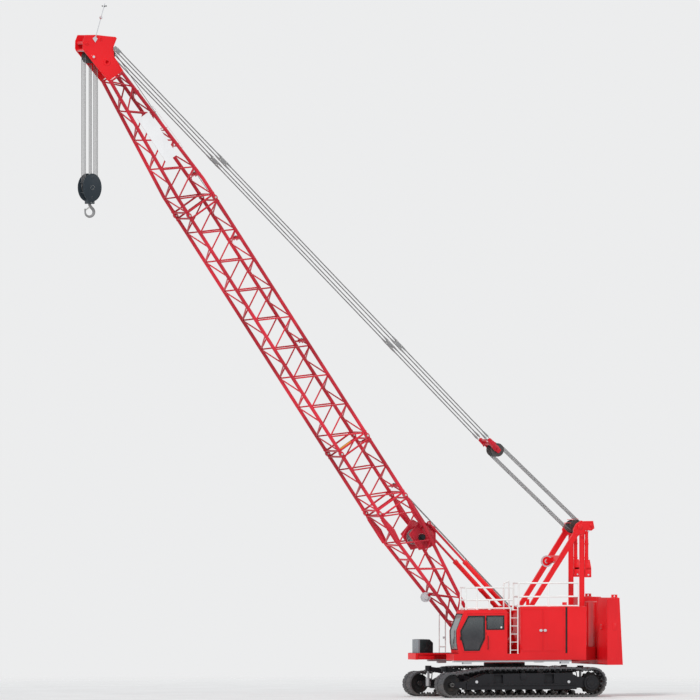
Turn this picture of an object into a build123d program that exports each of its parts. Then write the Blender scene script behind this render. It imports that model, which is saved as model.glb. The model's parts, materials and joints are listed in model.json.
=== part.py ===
from build123d import *
import math
import os

# Crawler crane with a lattice boom, all sizes in millimetres.
# X points forward along the boom, Y to the cab side (left), Z up.
# The origin is on the slewing axis at ground level.

os.makedirs("parts", exist_ok=True)

# ---------------------------------------------------------------- driving sizes
# crawlers
TRACK_GAUGE = 3970
SHOE_WIDTH = 900
TRACK_TOP = 1290
IDLER_X = 3225
IDLER_RADIUS = 545
SPROCKET_X = -3160
SPROCKET_RADIUS = 610
SPROCKET_TEETH = 13
SHOE_COUNT = 66
ROLLER_COUNT = 11
LUG_HEIGHT = 34
TRACK_THICKNESS = 120
FRAME_HALF = 330
POCKET_X = (1120, -1200)
JACK_X = 3100
JACK_Y = 1000

# slewing joint and rotating bed
RING_BOTTOM = 1190
RING_TOP = 1440
RING_RADIUS = 880
RING_GAP = 6
BED_BOTTOM = 1500
SILL_BOTTOM = 1580
SILL_TOP = 1860
SIDE_Y = 1700
GIRDER_INNER = 560
GIRDER_OUTER = 740
GIRDER_TOP = 2240
LEFT_DECK_FRONT = 2920
RIGHT_DECK_FRONT = 3770

# winches: drum axis X and Z
WINCHES = ((-650, 2000), (-1600, 2000), (-2500, 2000))
WINCH_PLATE = 480

# machinery houses
HOUSE_FRONT = -110
HOUSE_REAR = -3110
HOUSE_TOP = 3840
HOUSE_INNER = 800
GROOVE_X = -2270
WALL = 40
GAP = 6
DOOR_LOW = 1960
DOOR_HIGH = 3740
DOOR_FRONT = (-1131, -165)
DOOR_REAR = (-2105, -1141)

# cab, side view in X and Z
CAB_INNER = 780
CAB_POINTS = (
    (486, 1860),
    (2700, 1860),
    (2780, 2350),
    (2790, 2850),
    (2440, 3700),
    (2300, 3740),
    (560, 3740),
    (486, 3680),
)
CAB_DOOR = (
    (1478, 3550),
    (2300, 3550),
    (2690, 2850),
    (2670, 2540),
    (2500, 1930),
    (1740, 1930),
    (1478, 2480),
)
CAB_DOOR_GLASS = (
    (1518, 3480),
    (2264, 3480),
    (2623, 2840),
    (2600, 2560),
    (2441, 2000),
    (1768, 2000),
    (1518, 2500),
)
CAB_SIDE_WINDOW = ((645, 2900), (1430, 2900), (1430, 3480), (645, 3480))
CAB_INNER_WINDOW = ((800, 2400), (2250, 2400), (2250, 3480), (800, 3480))
SCREEN_LOW = 2050
SCREEN_HIGH = 3560

# boom, measured along its own axis (s) and square to it (t) from the foot pin
FOOT_X = 1077
FOOT_Z = 1950
FOOT_PIN_RADIUS = 50
BOOM_ANGLE = 55.86
JOINT_1 = 7660
JOINT_2 = 10740
JOINT_3 = 23040
LATTICE_END = 29750
BOOM_LENGTH = 30480
BOOM_DEPTH = 1410
BOOM_WIDTH = 1700
FOOT_WIDTH = 950
FOOT_DEPTH = 300
HEAD_WIDTH = 960
HEAD_DEPTH = 640
HEAD_HOLE = 75
HEAD_ROLLERS = ((31700, -420), (31450, -575))
TAPER_BASE_END = 6200
TAPER_TOP_START = 24000
CENTRE_DROP = 55
CHORD_RADIUS = 76
LACING_RADIUS = 33
FOOT_CHEEK = (
    (-110, -100),
    (0, -125),
    (300, -215),
    (1500, -395),
    (1500, 290),
    (300, 105),
    (0, 125),
    (-110, 70),
)
HEAD_CHEEK = (
    (29762, -460),
    (30500, -550),
    (31420, -650),
    (31560, -640),
    (31830, -450),
    (31980, -220),
    (31700, 190),
    (31140, 870),
    (31060, 880),
    (30850, 560),
    (30500, 350),
    (29762, 350),
)
WINCH_CHEEK = (
    (5270, -50),
    (6100, -50),
    (6220, 420),
    (6300, 760),
    (5950, 930),
    (5500, 1020),
    (5080, 740),
    (5080, 430),
)
BEND_PLATE = ((6150, 525), (6700, 455), (7400, 575), (7400, 755), (6150, 755))
WINCH_CHEEK_Y = 500
BASE_DRUM = (5680, 350)
REEL = (3330, -780)
PANEL = ((25500, 792), (27700, 651), (27700, 681), (25500, 822))

# gantry
GANTRY_Y = 670
GANTRY_HEAD_X = -3140
GANTRY_HEAD_Z = 7150
GANTRY_HEAD = (
    (-2930, 6890),
    (-2900, 7150),
    (-3040, 7390),
    (-3230, 7500),
    (-3790, 7505),
    (-3850, 7190),
    (-3720, 7090),
    (-3425, 7090),
    (-3410, 6930),
    (-3180, 6930),
    (-3100, 6850),
)
GANTRY_TUBE = (-3700, 7320, 70)
GANTRY_BEAM = ((-2180, 5740), (-2340, 5990))
DEFLECTOR = (-1930, 5780, 240)
LEG_FOOT_X = 50
LEG_FOOT_Z = 2330
LINK_X = -3295
LINK_HALF = 110
LINK_TOP = 6930
ROD_X = -3510
ROD_TOP = 7090
ROD_RADIUS = 80
ROD_CLEVIS = (
    (-200, 5090),
    (80, 5090),
    (80, 5850),
    (-130, 5850),
    (-200, 5480),
)
REEVE_X = -3180
REEVE_Z = 7260
REEVE_RADIUS = 290
REEVE_Y = (-280, -140, 0, 140, 280)

# stays from the boom head to the bridle
STAY_HEAD = (17930, 27790)
STAY_Y = 545
STAY_RADIUS = 24
STAY_SPREAD = 62
STAY_LINKS = (0.243, 0.71)
BRIDLE_END = (900, 11000)
BRIDLE_SHEAVE = (420, 10560)
BRIDLE_HALF = 345

# backstops
BACKSTOP_Y = 600
BACKSTOP_FOOT = (-250, 3430)
BACKSTOP_EYE = (3657, 7449)
BACKSTOP_TUBE = 3300
BACKSTOP_ROD = 3440
BACKSTOP_ROOT = ((-380, 2980), (-700, 3460), (-600, 3560), (-420, 3400), (-330, 3120))
BACKSTOP_FORK = ((-380, 2980), (-700, 3460), (-330, 3560), (-170, 3520), (-140, 3380))

# counterweight
CW_FRONT = -3895
CW_HALF_WIDTH = 2200
CW_BOTTOM = 1360
CW_TRAY_TOP = 1620
CW_TOP = 4230
CW_SEAM = 2990
CW_REAR_CORNER = -4600
CW_REAR_STEPS = ((4790, 1600), (4920, 850), (4965, 0))
CW_LEAN = 155
LUG_HOLE = 36
LUG_X = -4430
LUG_Y = 1600

# access
RAIL_RADIUS = 30
CAB_POSTS = ((2320, 4690), (1825, 4690), (1255, 4160), (180, 4690))
HOUSE_POSTS = ((-85, 4870), (-1445, 4870), (-2815, 4870))
LADDER_X = (0, 340)
LADDER_TOP = 3820
RUNG_PITCH = 344
GRAB_X = (2330, 2610)
GRAB_Y = -980
GRAB_TOP = 3530

# head sheaves, fall block and hook
SHEAVE_S = 31000
SHEAVE_T = -430
SHEAVE_RADIUS = 280
ROPE_RADIUS = 14
BLOCK_Z = 21800
HOOK_BOWL_Z = 20750
FALL_Y = (-240, -80, 80, 240)

BOOM = Location((FOOT_X, 0, FOOT_Z), (0, -BOOM_ANGLE, 0))
HEAD_CENTRE = (BOOM * Pos(SHEAVE_S, 0, SHEAVE_T)).position
HOOK_X = HEAD_CENTRE.X
HEAD_SHEAVE_Z = HEAD_CENTRE.Z


# ---------------------------------------------------------------- form helpers
def block(x0, x1, y0, y1, z0, z1):
    """A rectangular block between two corners."""
    size = (abs(x1 - x0), abs(y1 - y0), abs(z1 - z0))
    return Pos((x0 + x1) / 2, (y0 + y1) / 2, (z0 + z1) / 2) * Box(*size)


def plate_xz(points, y0, y1):
    """A plate with its outline in the X-Z plane, between two Y faces."""
    face = make_face(Polyline(*[(x, 0, z) for x, z in points], close=True))
    solid = extrude(face, amount=y1 - y0, dir=(0, 1, 0))
    return Pos(0, y0, 0) * solid


def plate_xy(points, z0, z1):
    """A plate with its outline in the X-Y plane, between two Z faces."""
    face = make_face(Polyline(*[(x, y, 0) for x, y in points], close=True))
    solid = extrude(face, amount=z1 - z0, dir=(0, 0, 1))
    return Pos(0, 0, z0) * solid


def bar(start, end, radius, sides=6):
    """A straight bar of regular polygonal section between two points."""
    axis = Vector(*end) - Vector(*start)
    section = Plane(origin=start, z_dir=axis) * RegularPolygon(radius, sides)
    return extrude(section, amount=axis.length, dir=axis.normalized())


def disc(x, z, radius, y0, y1):
    """A round disc whose axis runs along Y."""
    turned = Rot(90, 0, 0) * Cylinder(radius, abs(y1 - y0))
    return Pos(x, (y0 + y1) / 2, z) * turned


def wheel(x, z, radius, y0, y1, sides=16):
    """A disc whose rim has flats, its axis along Y."""
    return bar((x, y0, z), (x, y1, z), radius, sides)


def post(x, y, radius, z0, z1):
    """A round post whose axis runs along Z."""
    return Pos(x, y, (z0 + z1) / 2) * Cylinder(radius, z1 - z0)


def joined(pieces):
    """One solid from pieces that overlap."""
    return pieces[0].fuse(*pieces[1:])


def mirrored(shape):
    """The same shape on the other side of the X-Z plane."""
    return mirror(shape, about=Plane.XZ)


def save(name, shapes):
    """Write one node, made of one solid or of several that do not touch."""
    if not isinstance(shapes, list):
        shapes = [shapes]
    solids = [solid for shape in shapes for solid in shape.solids()]
    export_step(Compound(children=solids), "parts/" + name + ".step")
    print(name, len(solids), "solids")


# ---------------------------------------------------------------- crawlers
def arc_points(x, z, radius, start, end, step):
    """Points along an arc in the X-Z plane, about a step of degrees apart."""
    count = max(1, round((end - start) / step))
    angles = [math.radians(start + (end - start) * i / count) for i in range(count + 1)]
    return [(x + radius * math.cos(a), z + radius * math.sin(a)) for a in angles]


def belt_path(inset, step):
    """The belt's run, seen from the side: arcs round both ends, humped on top."""
    rear = SPROCKET_RADIUS + 30
    path = [(SPROCKET_X, inset)]
    path += arc_points(IDLER_X, IDLER_RADIUS, IDLER_RADIUS - inset, -90, 108, step)
    path += [(1750, TRACK_TOP - inset), (-2350, TRACK_TOP - inset)]
    path += arc_points(SPROCKET_X, rear, rear - inset, 62, 178, step)
    path += arc_points(SPROCKET_X, SPROCKET_RADIUS, SPROCKET_RADIUS - inset, 186, 266, step)
    return path


def walk(path, shares):
    """Points and outward normals at shares of the way round a closed path."""
    closed = path + path[:1]
    runs = [math.dist(a, b) for a, b in zip(closed, closed[1:])]
    total = sum(runs)
    found = []
    for share in shares:
        left = (share % 1) * total
        for (x0, z0), (x1, z1), run in zip(closed, closed[1:], runs):
            if left <= run and run > 0:
                break
            left -= run
        point = (x0 + (x1 - x0) * left / run, z0 + (z1 - z0) * left / run)
        found.append((point, ((z1 - z0) / run, (x0 - x1) / run)))
    return found


def track(side):
    """One belt as a closed loop, its shoes' grousers in the outline."""
    y0 = side * TRACK_GAUGE / 2 - SHOE_WIDTH / 2
    # One shoe: share of the pitch, depth below the grouser's top.
    shoe = [(0.04, LUG_HEIGHT), (0.14, 0), (0.80, 0), (0.90, LUG_HEIGHT)]
    shares = [(i + share) / SHOE_COUNT for i in range(SHOE_COUNT) for share, _ in shoe]
    depths = [depth for _ in range(SHOE_COUNT) for _, depth in shoe]
    points = []
    for (point, normal), depth in zip(walk(belt_path(0, 3), shares), depths):
        points.append((point[0] - normal[0] * depth, point[1] - normal[1] * depth))
    loop = plate_xz(points, y0, y0 + SHOE_WIDTH)
    return loop - plate_xz(belt_path(TRACK_THICKNESS, 22), y0 - 10, y0 + SHOE_WIDTH + 10)


def crawler_frame(side):
    """Side frame: box beam with pocketed flanks, idler yoke and drive housing."""
    mid = side * TRACK_GAUGE / 2
    beam_points = [
        (-2450, 330),
        (2560, 330),
        (2560, 640),
        (2240, 800),
        (1750, 1010),
        (-2150, 1040),
        (-2450, 900),
    ]
    frame = plate_xz(beam_points, mid - FRAME_HALF, mid + FRAME_HALF)
    flank = mid + side * FRAME_HALF
    for x in POCKET_X:
        frame -= block(x - 210, x + 210, flank - 90, flank + 90, 600, 980)
    yoke = [(2500, 380), (3330, 455), (3330, 635), (2500, 700)]
    for y in (mid - 290, mid + 230):
        frame += plate_xz(yoke, y, y + 60)
    ledge = FRAME_HALF + 40
    frame += block(-2450, 2560, mid - ledge, mid + ledge, 520, 560)
    housing = [(-2450, 380), (-2450, 880), (-2660, 860), (-2660, 400)]
    frame += plate_xz(housing, mid - 300, mid + 300)
    for y in (mid - 300, mid + 220):
        frame += plate_xz([(-2640, 420), (-2640, 850), (-3300, 760), (-3300, 460)], y, y + 80)
    return frame


def running_gear(side):
    """Idler, toothed sprocket and ground rollers of one crawler."""
    mid = side * TRACK_GAUGE / 2
    tread = TRACK_THICKNESS + 14
    gear = [wheel(IDLER_X, IDLER_RADIUS, IDLER_RADIUS - tread, mid - 200, mid + 200, 20)]
    teeth = []
    for i in range(SPROCKET_TEETH * 2):
        angle = math.pi * i / SPROCKET_TEETH
        reach = SPROCKET_RADIUS - tread - (60 if i % 2 else 0)
        x = SPROCKET_X + reach * math.cos(angle)
        teeth.append((x, SPROCKET_RADIUS + reach * math.sin(angle)))
    gear.append(plate_xz(teeth, mid - 110, mid + 110))
    for i in range(ROLLER_COUNT):
        x = -2330 + i * 466
        centre = TRACK_THICKNESS + 92
        gear.append(wheel(x, centre, 88, mid - 250, mid + 250, 8))
    return gear


def travel_drive(side):
    """Round gearbox cover on the outside of the sprocket."""
    mid = side * TRACK_GAUGE / 2
    outside = mid + side * 300
    centre = (SPROCKET_X + 60, SPROCKET_RADIUS - 10)
    cover = wheel(*centre, 330, outside, outside + side * 90, 24)
    return cover + wheel(*centre, 230, outside, outside + side * 130, 24)


def carbody():
    """Centre box, two axle beams to the crawlers, ring seat and jack arms."""
    reach = TRACK_GAUGE / 2 - FRAME_HALF
    plan = [(-1500, -700), (-1100, -1100), (1100, -1100), (1500, -700)]
    plan += [(1500, 700), (1100, 1100), (-1100, 1100), (-1500, 700)]
    body = plate_xy(plan, 560, 1130)
    for x in (-1250, 1250):
        body += block(x - 230, x + 230, -reach, reach, 600, 1010)
    body += Pos(0, 0, 1160) * Cylinder(950, 60)
    for x in (1, -1):
        for y in (1, -1):
            arm = [(x * 1200, 1010), (x * 1200, 700), (x * JACK_X, 1110), (x * JACK_X, 1290)]
            body += plate_xz(arm, y * JACK_Y - 70, y * JACK_Y + 70)
            foot = (x * JACK_X, y * JACK_Y)
            body += bar((*foot, 1090), (*foot, 1320), 135, 14)
    return body


def jacks():
    """Four lifting jacks under the arms: bright rod above, barrel below."""
    found = []
    for x in (JACK_X, -JACK_X):
        for y in (JACK_Y, -JACK_Y):
            rod = bar((x, y, 740), (x, y, 1090), 55, 12)
            found.append(rod + bar((x, y, 450), (x, y, 750), 115, 14))
    return found


# ---------------------------------------------------------------- rotating bed
def bed_girder():
    """Left girder of the bed, with the boom's lug at its front."""
    outline = [
        (CW_FRONT, 1560),
        (-3000, BED_BOTTOM),
        (1250, BED_BOTTOM),
        (1330, 1700),
        (1250, 2080),
        (1160, 2140),
        (990, 2140),
        (800, 2050),
        (500, GIRDER_TOP),
        (-2900, GIRDER_TOP),
        (-3170, 2100),
        (CW_FRONT, 2100),
    ]
    return plate_xz(outline, GIRDER_INNER, GIRDER_OUTER)


def rotating_bed():
    """Two girders on a round base, cross beams, inner lugs and foot pins."""
    bed = bed_girder() + mirrored(bed_girder())
    bed += block(-3200, 1200, -600, 600, BED_BOTTOM, BED_BOTTOM + 40)
    bed += post(0, 0, RING_RADIUS, RING_TOP, BED_BOTTOM + 20)
    bed += block(600, 760, -580, 580, BED_BOTTOM + 30, 1850)
    bed += block(-3120, -2980, -580, 580, BED_BOTTOM + 30, 1900)
    lug = [(620, 1530), (1200, 1530), (1230, 1950), (1150, 2110), (1000, 2110), (620, 1850)]
    for y in (330, -400):
        bed += plate_xz(lug, y, y + 70)
    for y in (330, -600):
        bed += disc(FOOT_X, FOOT_Z, FOOT_PIN_RADIUS, y, y + 270)
    return bed


def side_deck(side, front):
    """Floor plate, outer sill and edge strip along one side."""
    inner = GIRDER_OUTER
    y = (inner, SIDE_Y) if side > 0 else (-SIDE_Y, -inner)
    sill = (SIDE_Y - 180, SIDE_Y) if side > 0 else (-SIDE_Y, -SIDE_Y + 180)
    deck = block(HOUSE_REAR, front, *sill, SILL_BOTTOM, SILL_TOP)
    deck += block(HOUSE_REAR, front, *y, SILL_TOP - 60, SILL_TOP)
    for x in (HOUSE_REAR, -1700, -110, 1400, front - 120):
        deck += block(x, x + 120, *y, SILL_BOTTOM, SILL_TOP - 30)
    return deck


def edge_strips():
    """Pale strips and pads under the two sills."""
    found = []
    for side in (1, -1):
        y = (1480, 1660) if side > 0 else (-1660, -1480)
        strip = block(-2450, LEFT_DECK_FRONT, *y, BED_BOTTOM, SILL_BOTTOM)
        for x in (2100, -2350):
            strip += block(x, x + 380, *y, BED_BOTTOM - 80, BED_BOTTOM + 20)
        found.append(strip)
    return found


# ---------------------------------------------------------------- houses
def house(side):
    """Hollow machinery house, open below, with two door openings and a recess."""
    inner, outer = HOUSE_INNER, SIDE_Y
    shell = block(HOUSE_REAR, HOUSE_FRONT, inner, outer, SILL_TOP, HOUSE_TOP)
    shell -= block(GROOVE_X, GROOVE_X + 120, outer - 20, outer + 10, SILL_TOP - 10, HOUSE_TOP + 10)
    shell -= block(
        HOUSE_REAR + WALL,
        HOUSE_FRONT - WALL,
        inner + WALL,
        outer - WALL,
        SILL_TOP - 10,
        HOUSE_TOP - WALL,
    )
    for x0, x1 in (DOOR_FRONT, DOOR_REAR):
        shell -= block(x0 - GAP, x1 + GAP, outer - 60, outer + 10, DOOR_LOW - GAP, DOOR_HIGH + GAP)
    return shell if side > 0 else mirrored(shell)


def house_door(span, side):
    """A flat door leaf with a pull handle near the edge that meets its twin."""
    leaf = block(*span, SIDE_Y - WALL, SIDE_Y, DOOR_LOW, DOOR_HIGH)
    handle = span[0] + 90 if span == DOOR_FRONT else span[1] - 90
    leaf += block(handle - 25, handle + 25, SIDE_Y - 5, SIDE_Y + 35, 2760, 2930)
    return leaf if side > 0 else mirrored(leaf)


# ---------------------------------------------------------------- cab
def cab_outline():
    """Side view of the cab as a face in the X-Z plane."""
    return make_face(Polyline(*[(x, 0, z) for x, z in CAB_POINTS], close=True))


def cab_layer(inset, y0, y1):
    """The cab's side view drawn in by an amount and extruded across."""
    face = cab_outline()
    if inset:
        face = offset(face, amount=-inset, kind=Kind.INTERSECTION)
    return Pos(0, y0, 0) * extrude(face, amount=y1 - y0, dir=(0, 1, 0))


def cab_shell():
    """Hollow cab with its door opening and every window cut."""
    shell = cab_layer(0, CAB_INNER, SIDE_Y)
    shell -= cab_layer(WALL, CAB_INNER + WALL, SIDE_Y - WALL)
    door = make_face(Polyline(*[(x, 0, z) for x, z in CAB_DOOR], close=True))
    door = offset(door, amount=GAP, kind=Kind.INTERSECTION)
    shell -= Pos(0, SIDE_Y - 60, 0) * extrude(door, amount=80, dir=(0, 1, 0))
    shell -= plate_xz(CAB_SIDE_WINDOW, SIDE_Y - 60, SIDE_Y + 20)
    shell -= plate_xz(CAB_INNER_WINDOW, CAB_INNER - 20, CAB_INNER + 60)
    shell -= block(2250, 3000, CAB_INNER + 70, SIDE_Y - 70, SCREEN_LOW, SCREEN_HIGH)
    shell -= block(400, 600, CAB_INNER + 130, SIDE_Y - 130, 2900, 3480)
    return shell


def cab_glass():
    """Bent windscreen and the flat panes of the side and rear windows."""
    screen = cab_layer(14, CAB_INNER + 70, SIDE_Y - 70)
    screen -= cab_layer(28, CAB_INNER + 60, SIDE_Y - 60)
    screen &= block(2250, 3000, CAB_INNER + 60, SIDE_Y - 60, SCREEN_LOW, SCREEN_HIGH)
    side = plate_xz(CAB_SIDE_WINDOW, SIDE_Y - 26, SIDE_Y - 14)
    inner = plate_xz(CAB_INNER_WINDOW, CAB_INNER + 14, CAB_INNER + 26)
    rear = block(500, 512, CAB_INNER + 130, SIDE_Y - 130, 2900, 3480)
    return [screen, side, inner, rear]


def cab_door():
    """Door frame: a bent-edged panel with one large glazed opening."""
    leaf = plate_xz(CAB_DOOR, SIDE_Y - WALL, SIDE_Y)
    leaf -= plate_xz(CAB_DOOR_GLASS, SIDE_Y - WALL - 10, SIDE_Y + 10)
    return leaf


def cab_inside():
    """Operator's seat on its pedestal and the two control boxes beside it."""
    mid = (CAB_INNER + SIDE_Y) / 2
    low = SILL_TOP + 40
    seat = block(1150, 1500, mid - 200, mid + 200, low, low + 330)
    seat += block(1050, 1600, mid - 250, mid + 250, low + 330, low + 470)
    back = [(1040, low + 400), (1170, low + 400), (1060, 3160), (950, 3160)]
    seat += plate_xz(back, mid - 240, mid + 240)
    boxes = [seat]
    for y in (mid - 400, mid + 280):
        boxes.append(block(1150, 1700, y, y + 120, low, low + 600))
    return boxes


# ---------------------------------------------------------------- machinery
def drum(x, z, core, flange, half):
    """A winch drum with two flanges on a stub shaft."""
    body = wheel(x, z, core, -half, half)
    for y in (-half, half - 40):
        body += wheel(x, z, flange, y, y + 40, 20)
    return body + wheel(x, z, 90, -WINCH_PLATE, WINCH_PLATE, 8)


def winch_plates():
    """Upright bearing plates beside the drums, standing on the bed."""
    found = []
    for x, z in WINCHES:
        low = BED_BOTTOM + 40
        outline = [(x - 300, low), (x + 300, low), (x + 300, z), (x + 160, z + 200)]
        outline += [(x - 160, z + 200), (x - 300, z)]
        for y in (WINCH_PLATE, -GIRDER_INNER):
            found.append(plate_xz(outline, y, y + GIRDER_INNER - WINCH_PLATE))
    return found


def strut_xz(start, end, start_width, end_width, y0, y1):
    """A flat strut between two points in the X-Z plane, with a width at each end."""
    length = math.dist(start, end)
    nx, nz = (end[1] - start[1]) / length, (start[0] - end[0]) / length
    points = [
        (start[0] + nx * start_width / 2, start[1] + nz * start_width / 2),
        (end[0] + nx * end_width / 2, end[1] + nz * end_width / 2),
        (end[0] - nx * end_width / 2, end[1] - nz * end_width / 2),
        (start[0] - nx * start_width / 2, start[1] - nz * start_width / 2),
    ]
    return plate_xz(points, y0, y1)


def gantry_side():
    """Left half of the gantry: front leg, foot, head plate and backstop bracket."""
    y0, y1 = GANTRY_Y - 60, GANTRY_Y + 60
    head = (GANTRY_HEAD_X, GANTRY_HEAD_Z)
    side = strut_xz((LEG_FOOT_X, LEG_FOOT_Z), head, 170, 240, y0, y1)
    side += block(LEG_FOOT_X - 150, LEG_FOOT_X + 150, y0, y1, GIRDER_TOP, GIRDER_TOP + 180)
    side += plate_xz(GANTRY_HEAD, y0, y1)
    side += plate_xz(BACKSTOP_ROOT, BACKSTOP_Y - 90, y1 - 10)
    for y in (BACKSTOP_Y - 90, BACKSTOP_Y + 60):
        side += plate_xz(BACKSTOP_FORK, y, y + 30)
    side += disc(*BACKSTOP_FOOT, 40, BACKSTOP_Y - 90, BACKSTOP_Y + 90)
    return side - block(-1000, 1000, 0, 2000, 2000, GIRDER_TOP)


def gantry_frame():
    """Both halves of the gantry, what ties them and the deflector sheave."""
    x, z, radius = GANTRY_TUBE
    ties = [bar((x, -GANTRY_Y, z), (x, GANTRY_Y, z), radius, 10)]
    ties.append(strut_xz(*GANTRY_BEAM, 160, 160, -GANTRY_Y, GANTRY_Y))
    x, z, radius = DEFLECTOR
    arms = [strut_xz(along(*GANTRY_BEAM, 0.4), (x, z), 240, 180, y, y + 25) for y in (-70, 45)]
    wheels = [wheel(x, z, radius, -30, 30), wheel(x, z, 45, -70, 70, 12)]
    return joined([gantry_side(), mirrored(gantry_side())] + ties + arms + wheels)


def sheave_set(x, z, radius, places, half, shaft):
    """Sheaves side by side on one shaft along Y."""
    body = wheel(x, z, shaft, -half, half, 8)
    for y in places:
        body += wheel(x, z, radius, y - 22, y + 22)
    return body


def gantry_links():
    """Upright links from the gantry's head down to the rear of the bed."""
    found = []
    for y in (GANTRY_Y, -GANTRY_Y):
        found.append(block(LINK_X - LINK_HALF, LINK_X + LINK_HALF, y - 30, y + 30, 2100, LINK_TOP))
    return found


def gantry_rods():
    """Two rods that hang from the gantry's head, a deep clevis at each lower end."""
    found = []
    outline = [(ROD_X + x, z) for x, z in ROD_CLEVIS]
    for y in (GANTRY_Y, -GANTRY_Y):
        rod = bar((ROD_X, y, 5700), (ROD_X, y, ROD_TOP), ROD_RADIUS, 12)
        clevis = plate_xz(outline, y - 60, y + 60)
        clevis -= block(ROD_X - 200, ROD_X + 200, y - 25, y + 25, 5040, 5420)
        found.append(rod + clevis)
    return found


def counterweight_face(z):
    """The counterweight's plan at one height; its rear leans forward as it rises."""
    lean = CW_LEAN * (z - CW_BOTTOM) / (CW_TOP - CW_BOTTOM)
    left = [(CW_FRONT, CW_HALF_WIDTH), (CW_REAR_CORNER + lean, CW_HALF_WIDTH)]
    left += [(lean - x, y) for x, y in CW_REAR_STEPS]
    right = [(x, -y) for x, y in reversed(left[:-1])]
    return make_face(Polyline(*[(x, y, z) for x, y in left + right], close=True))


def counterweight_layer(y0, y1, front, z0, z1):
    """The part of the counterweight between two sides and two heights."""
    whole = loft([counterweight_face(z0), counterweight_face(z1)], ruled=True)
    return whole & block(-6000, front, y0, y1, z0 - 10, z1 + 10)


def counterweight_blocks():
    """Two side stacks with a joint line, a lower centre stack and lifting lugs."""
    found = []
    for side in (1, -1):
        y0, y1 = sorted((side * 905, side * CW_HALF_WIDTH))
        stack = counterweight_layer(y0, y1, CW_FRONT, CW_TRAY_TOP, CW_TOP)
        stack -= block(CW_FRONT - 25, CW_FRONT + 10, y0 - 10, y1 + 10, CW_SEAM - 12, CW_SEAM + 12)
        y = side * LUG_Y
        stack += block(LUG_X - 130, LUG_X + 130, y - 25, y + 25, CW_TOP - 20, CW_TOP + 130)
        stack -= disc(LUG_X, CW_TOP + 65, LUG_HOLE, y - 35, y + 35)
        found.append(stack)
    centre = counterweight_layer(-895, 895, CW_FRONT - 60, CW_TRAY_TOP, CW_TOP - 180)
    return found + [centre]


def equipment_box():
    """Cabinet on the right front deck, its top rear edge cut back."""
    outline = [(2900, SILL_TOP), (3570, SILL_TOP), (3570, 2440), (3050, 2440), (2900, 2300)]
    return plate_xz(outline, -SIDE_Y, -950)


# ---------------------------------------------------------------- access
def rail_frame(posts, outer, inner, levels, foot):
    """Handrail: posts with their tops, rails at each level, returns at the front."""
    pieces = []
    xs = [x for x, top in posts]
    for x, top in posts:
        pieces.append(bar((x, outer, foot), (x, outer, top), RAIL_RADIUS))
    pieces.append(bar((xs[0], inner, foot), (xs[0], inner, levels[-1]), RAIL_RADIUS))
    for z in levels:
        pieces.append(bar((xs[0], outer, z), (xs[-1], outer, z), RAIL_RADIUS))
        pieces.append(bar((xs[0], outer, z), (xs[0], inner, z), RAIL_RADIUS))
    return joined(pieces)


def ladder():
    """Ladder between the cab and the house."""
    pieces = []
    for x in LADDER_X:
        pieces.append(bar((x, SIDE_Y - 30, SILL_TOP), (x, SIDE_Y - 30, LADDER_TOP), 24))
    for i in range(6):
        z = 2010 + i * RUNG_PITCH
        pieces.append(bar((LADDER_X[0], SIDE_Y - 30, z), (LADDER_X[1], SIDE_Y - 30, z), 18))
    return joined(pieces)


def grab_rail():
    """Tall loop rail on the right front deck."""
    pieces = []
    for x in GRAB_X:
        pieces.append(bar((x, GRAB_Y, SILL_TOP), (x, GRAB_Y, GRAB_TOP), 26))
    for z in (2130, GRAB_TOP - 22):
        pieces.append(bar((GRAB_X[0], GRAB_Y, z), (GRAB_X[1], GRAB_Y, z), 26))
    return joined(pieces)


# ---------------------------------------------------------------- boom lattice
def half_width(s):
    """Half the distance between the chord centres across the boom."""
    if s < TAPER_BASE_END:
        return (FOOT_WIDTH + (BOOM_WIDTH - FOOT_WIDTH) * s / TAPER_BASE_END) / 2
    if s > TAPER_TOP_START:
        share = (s - TAPER_TOP_START) / (LATTICE_END - TAPER_TOP_START)
        return (BOOM_WIDTH + (HEAD_WIDTH - BOOM_WIDTH) * share) / 2
    return BOOM_WIDTH / 2


def half_depth(s):
    """Half the distance between the top and bottom chord centres."""
    if s < TAPER_BASE_END:
        return (FOOT_DEPTH + (BOOM_DEPTH - FOOT_DEPTH) * s / TAPER_BASE_END) / 2
    if s > TAPER_TOP_START:
        share = (s - TAPER_TOP_START) / (LATTICE_END - TAPER_TOP_START)
        return (BOOM_DEPTH + (HEAD_DEPTH - BOOM_DEPTH) * share) / 2
    return BOOM_DEPTH / 2


def corner(s, side, level):
    """Chord centre at a station: side is +1 left, level is +1 top."""
    return (s, side * half_width(s), level * half_depth(s) - CENTRE_DROP)


def lattice(stations, bends, open_faces=(), open_ends=()):
    """One boom section: four chords, zigzag lacing on four faces, end frames.

    stations are where the lacing meets the chords. bends are where the chords
    start, change slope and end. open_faces lists (level, first s, last s)
    stretches of the top or bottom face that have no lacing, and open_ends the
    (level, s) end frames without a bar on that face.
    """
    pieces = []
    corners = ((1, 1), (1, -1), (-1, -1), (-1, 1))
    for side, level in corners:
        for a, b in zip(bends, bends[1:]):
            ends = (corner(a, side, level), corner(b, side, level))
            pieces.append(bar(*ends, CHORD_RADIUS, 8))
    # Each face runs between two neighbouring chords.
    faces = list(zip(corners, corners[1:] + corners[:1]))
    for number, (first, second) in enumerate(faces):
        level = first[1] if first[1] == second[1] else 0
        for i, (a, b) in enumerate(zip(stations, stations[1:])):
            is_open = any(level == f and a >= lo and b <= hi for f, lo, hi in open_faces)
            if is_open:
                continue
            swap = (i + number // 2) % 2 == 0
            start, end = (first, second) if swap else (second, first)
            pieces.append(bar(corner(a, *start), corner(b, *end), LACING_RADIUS))
    for s in (stations[0], stations[-1]):
        for first, second in faces:
            if first[1] != second[1] or (first[1], s) not in open_ends:
                pieces.append(bar(corner(s, *first), corner(s, *second), LACING_RADIUS + 9))
    return joined(pieces)


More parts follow.
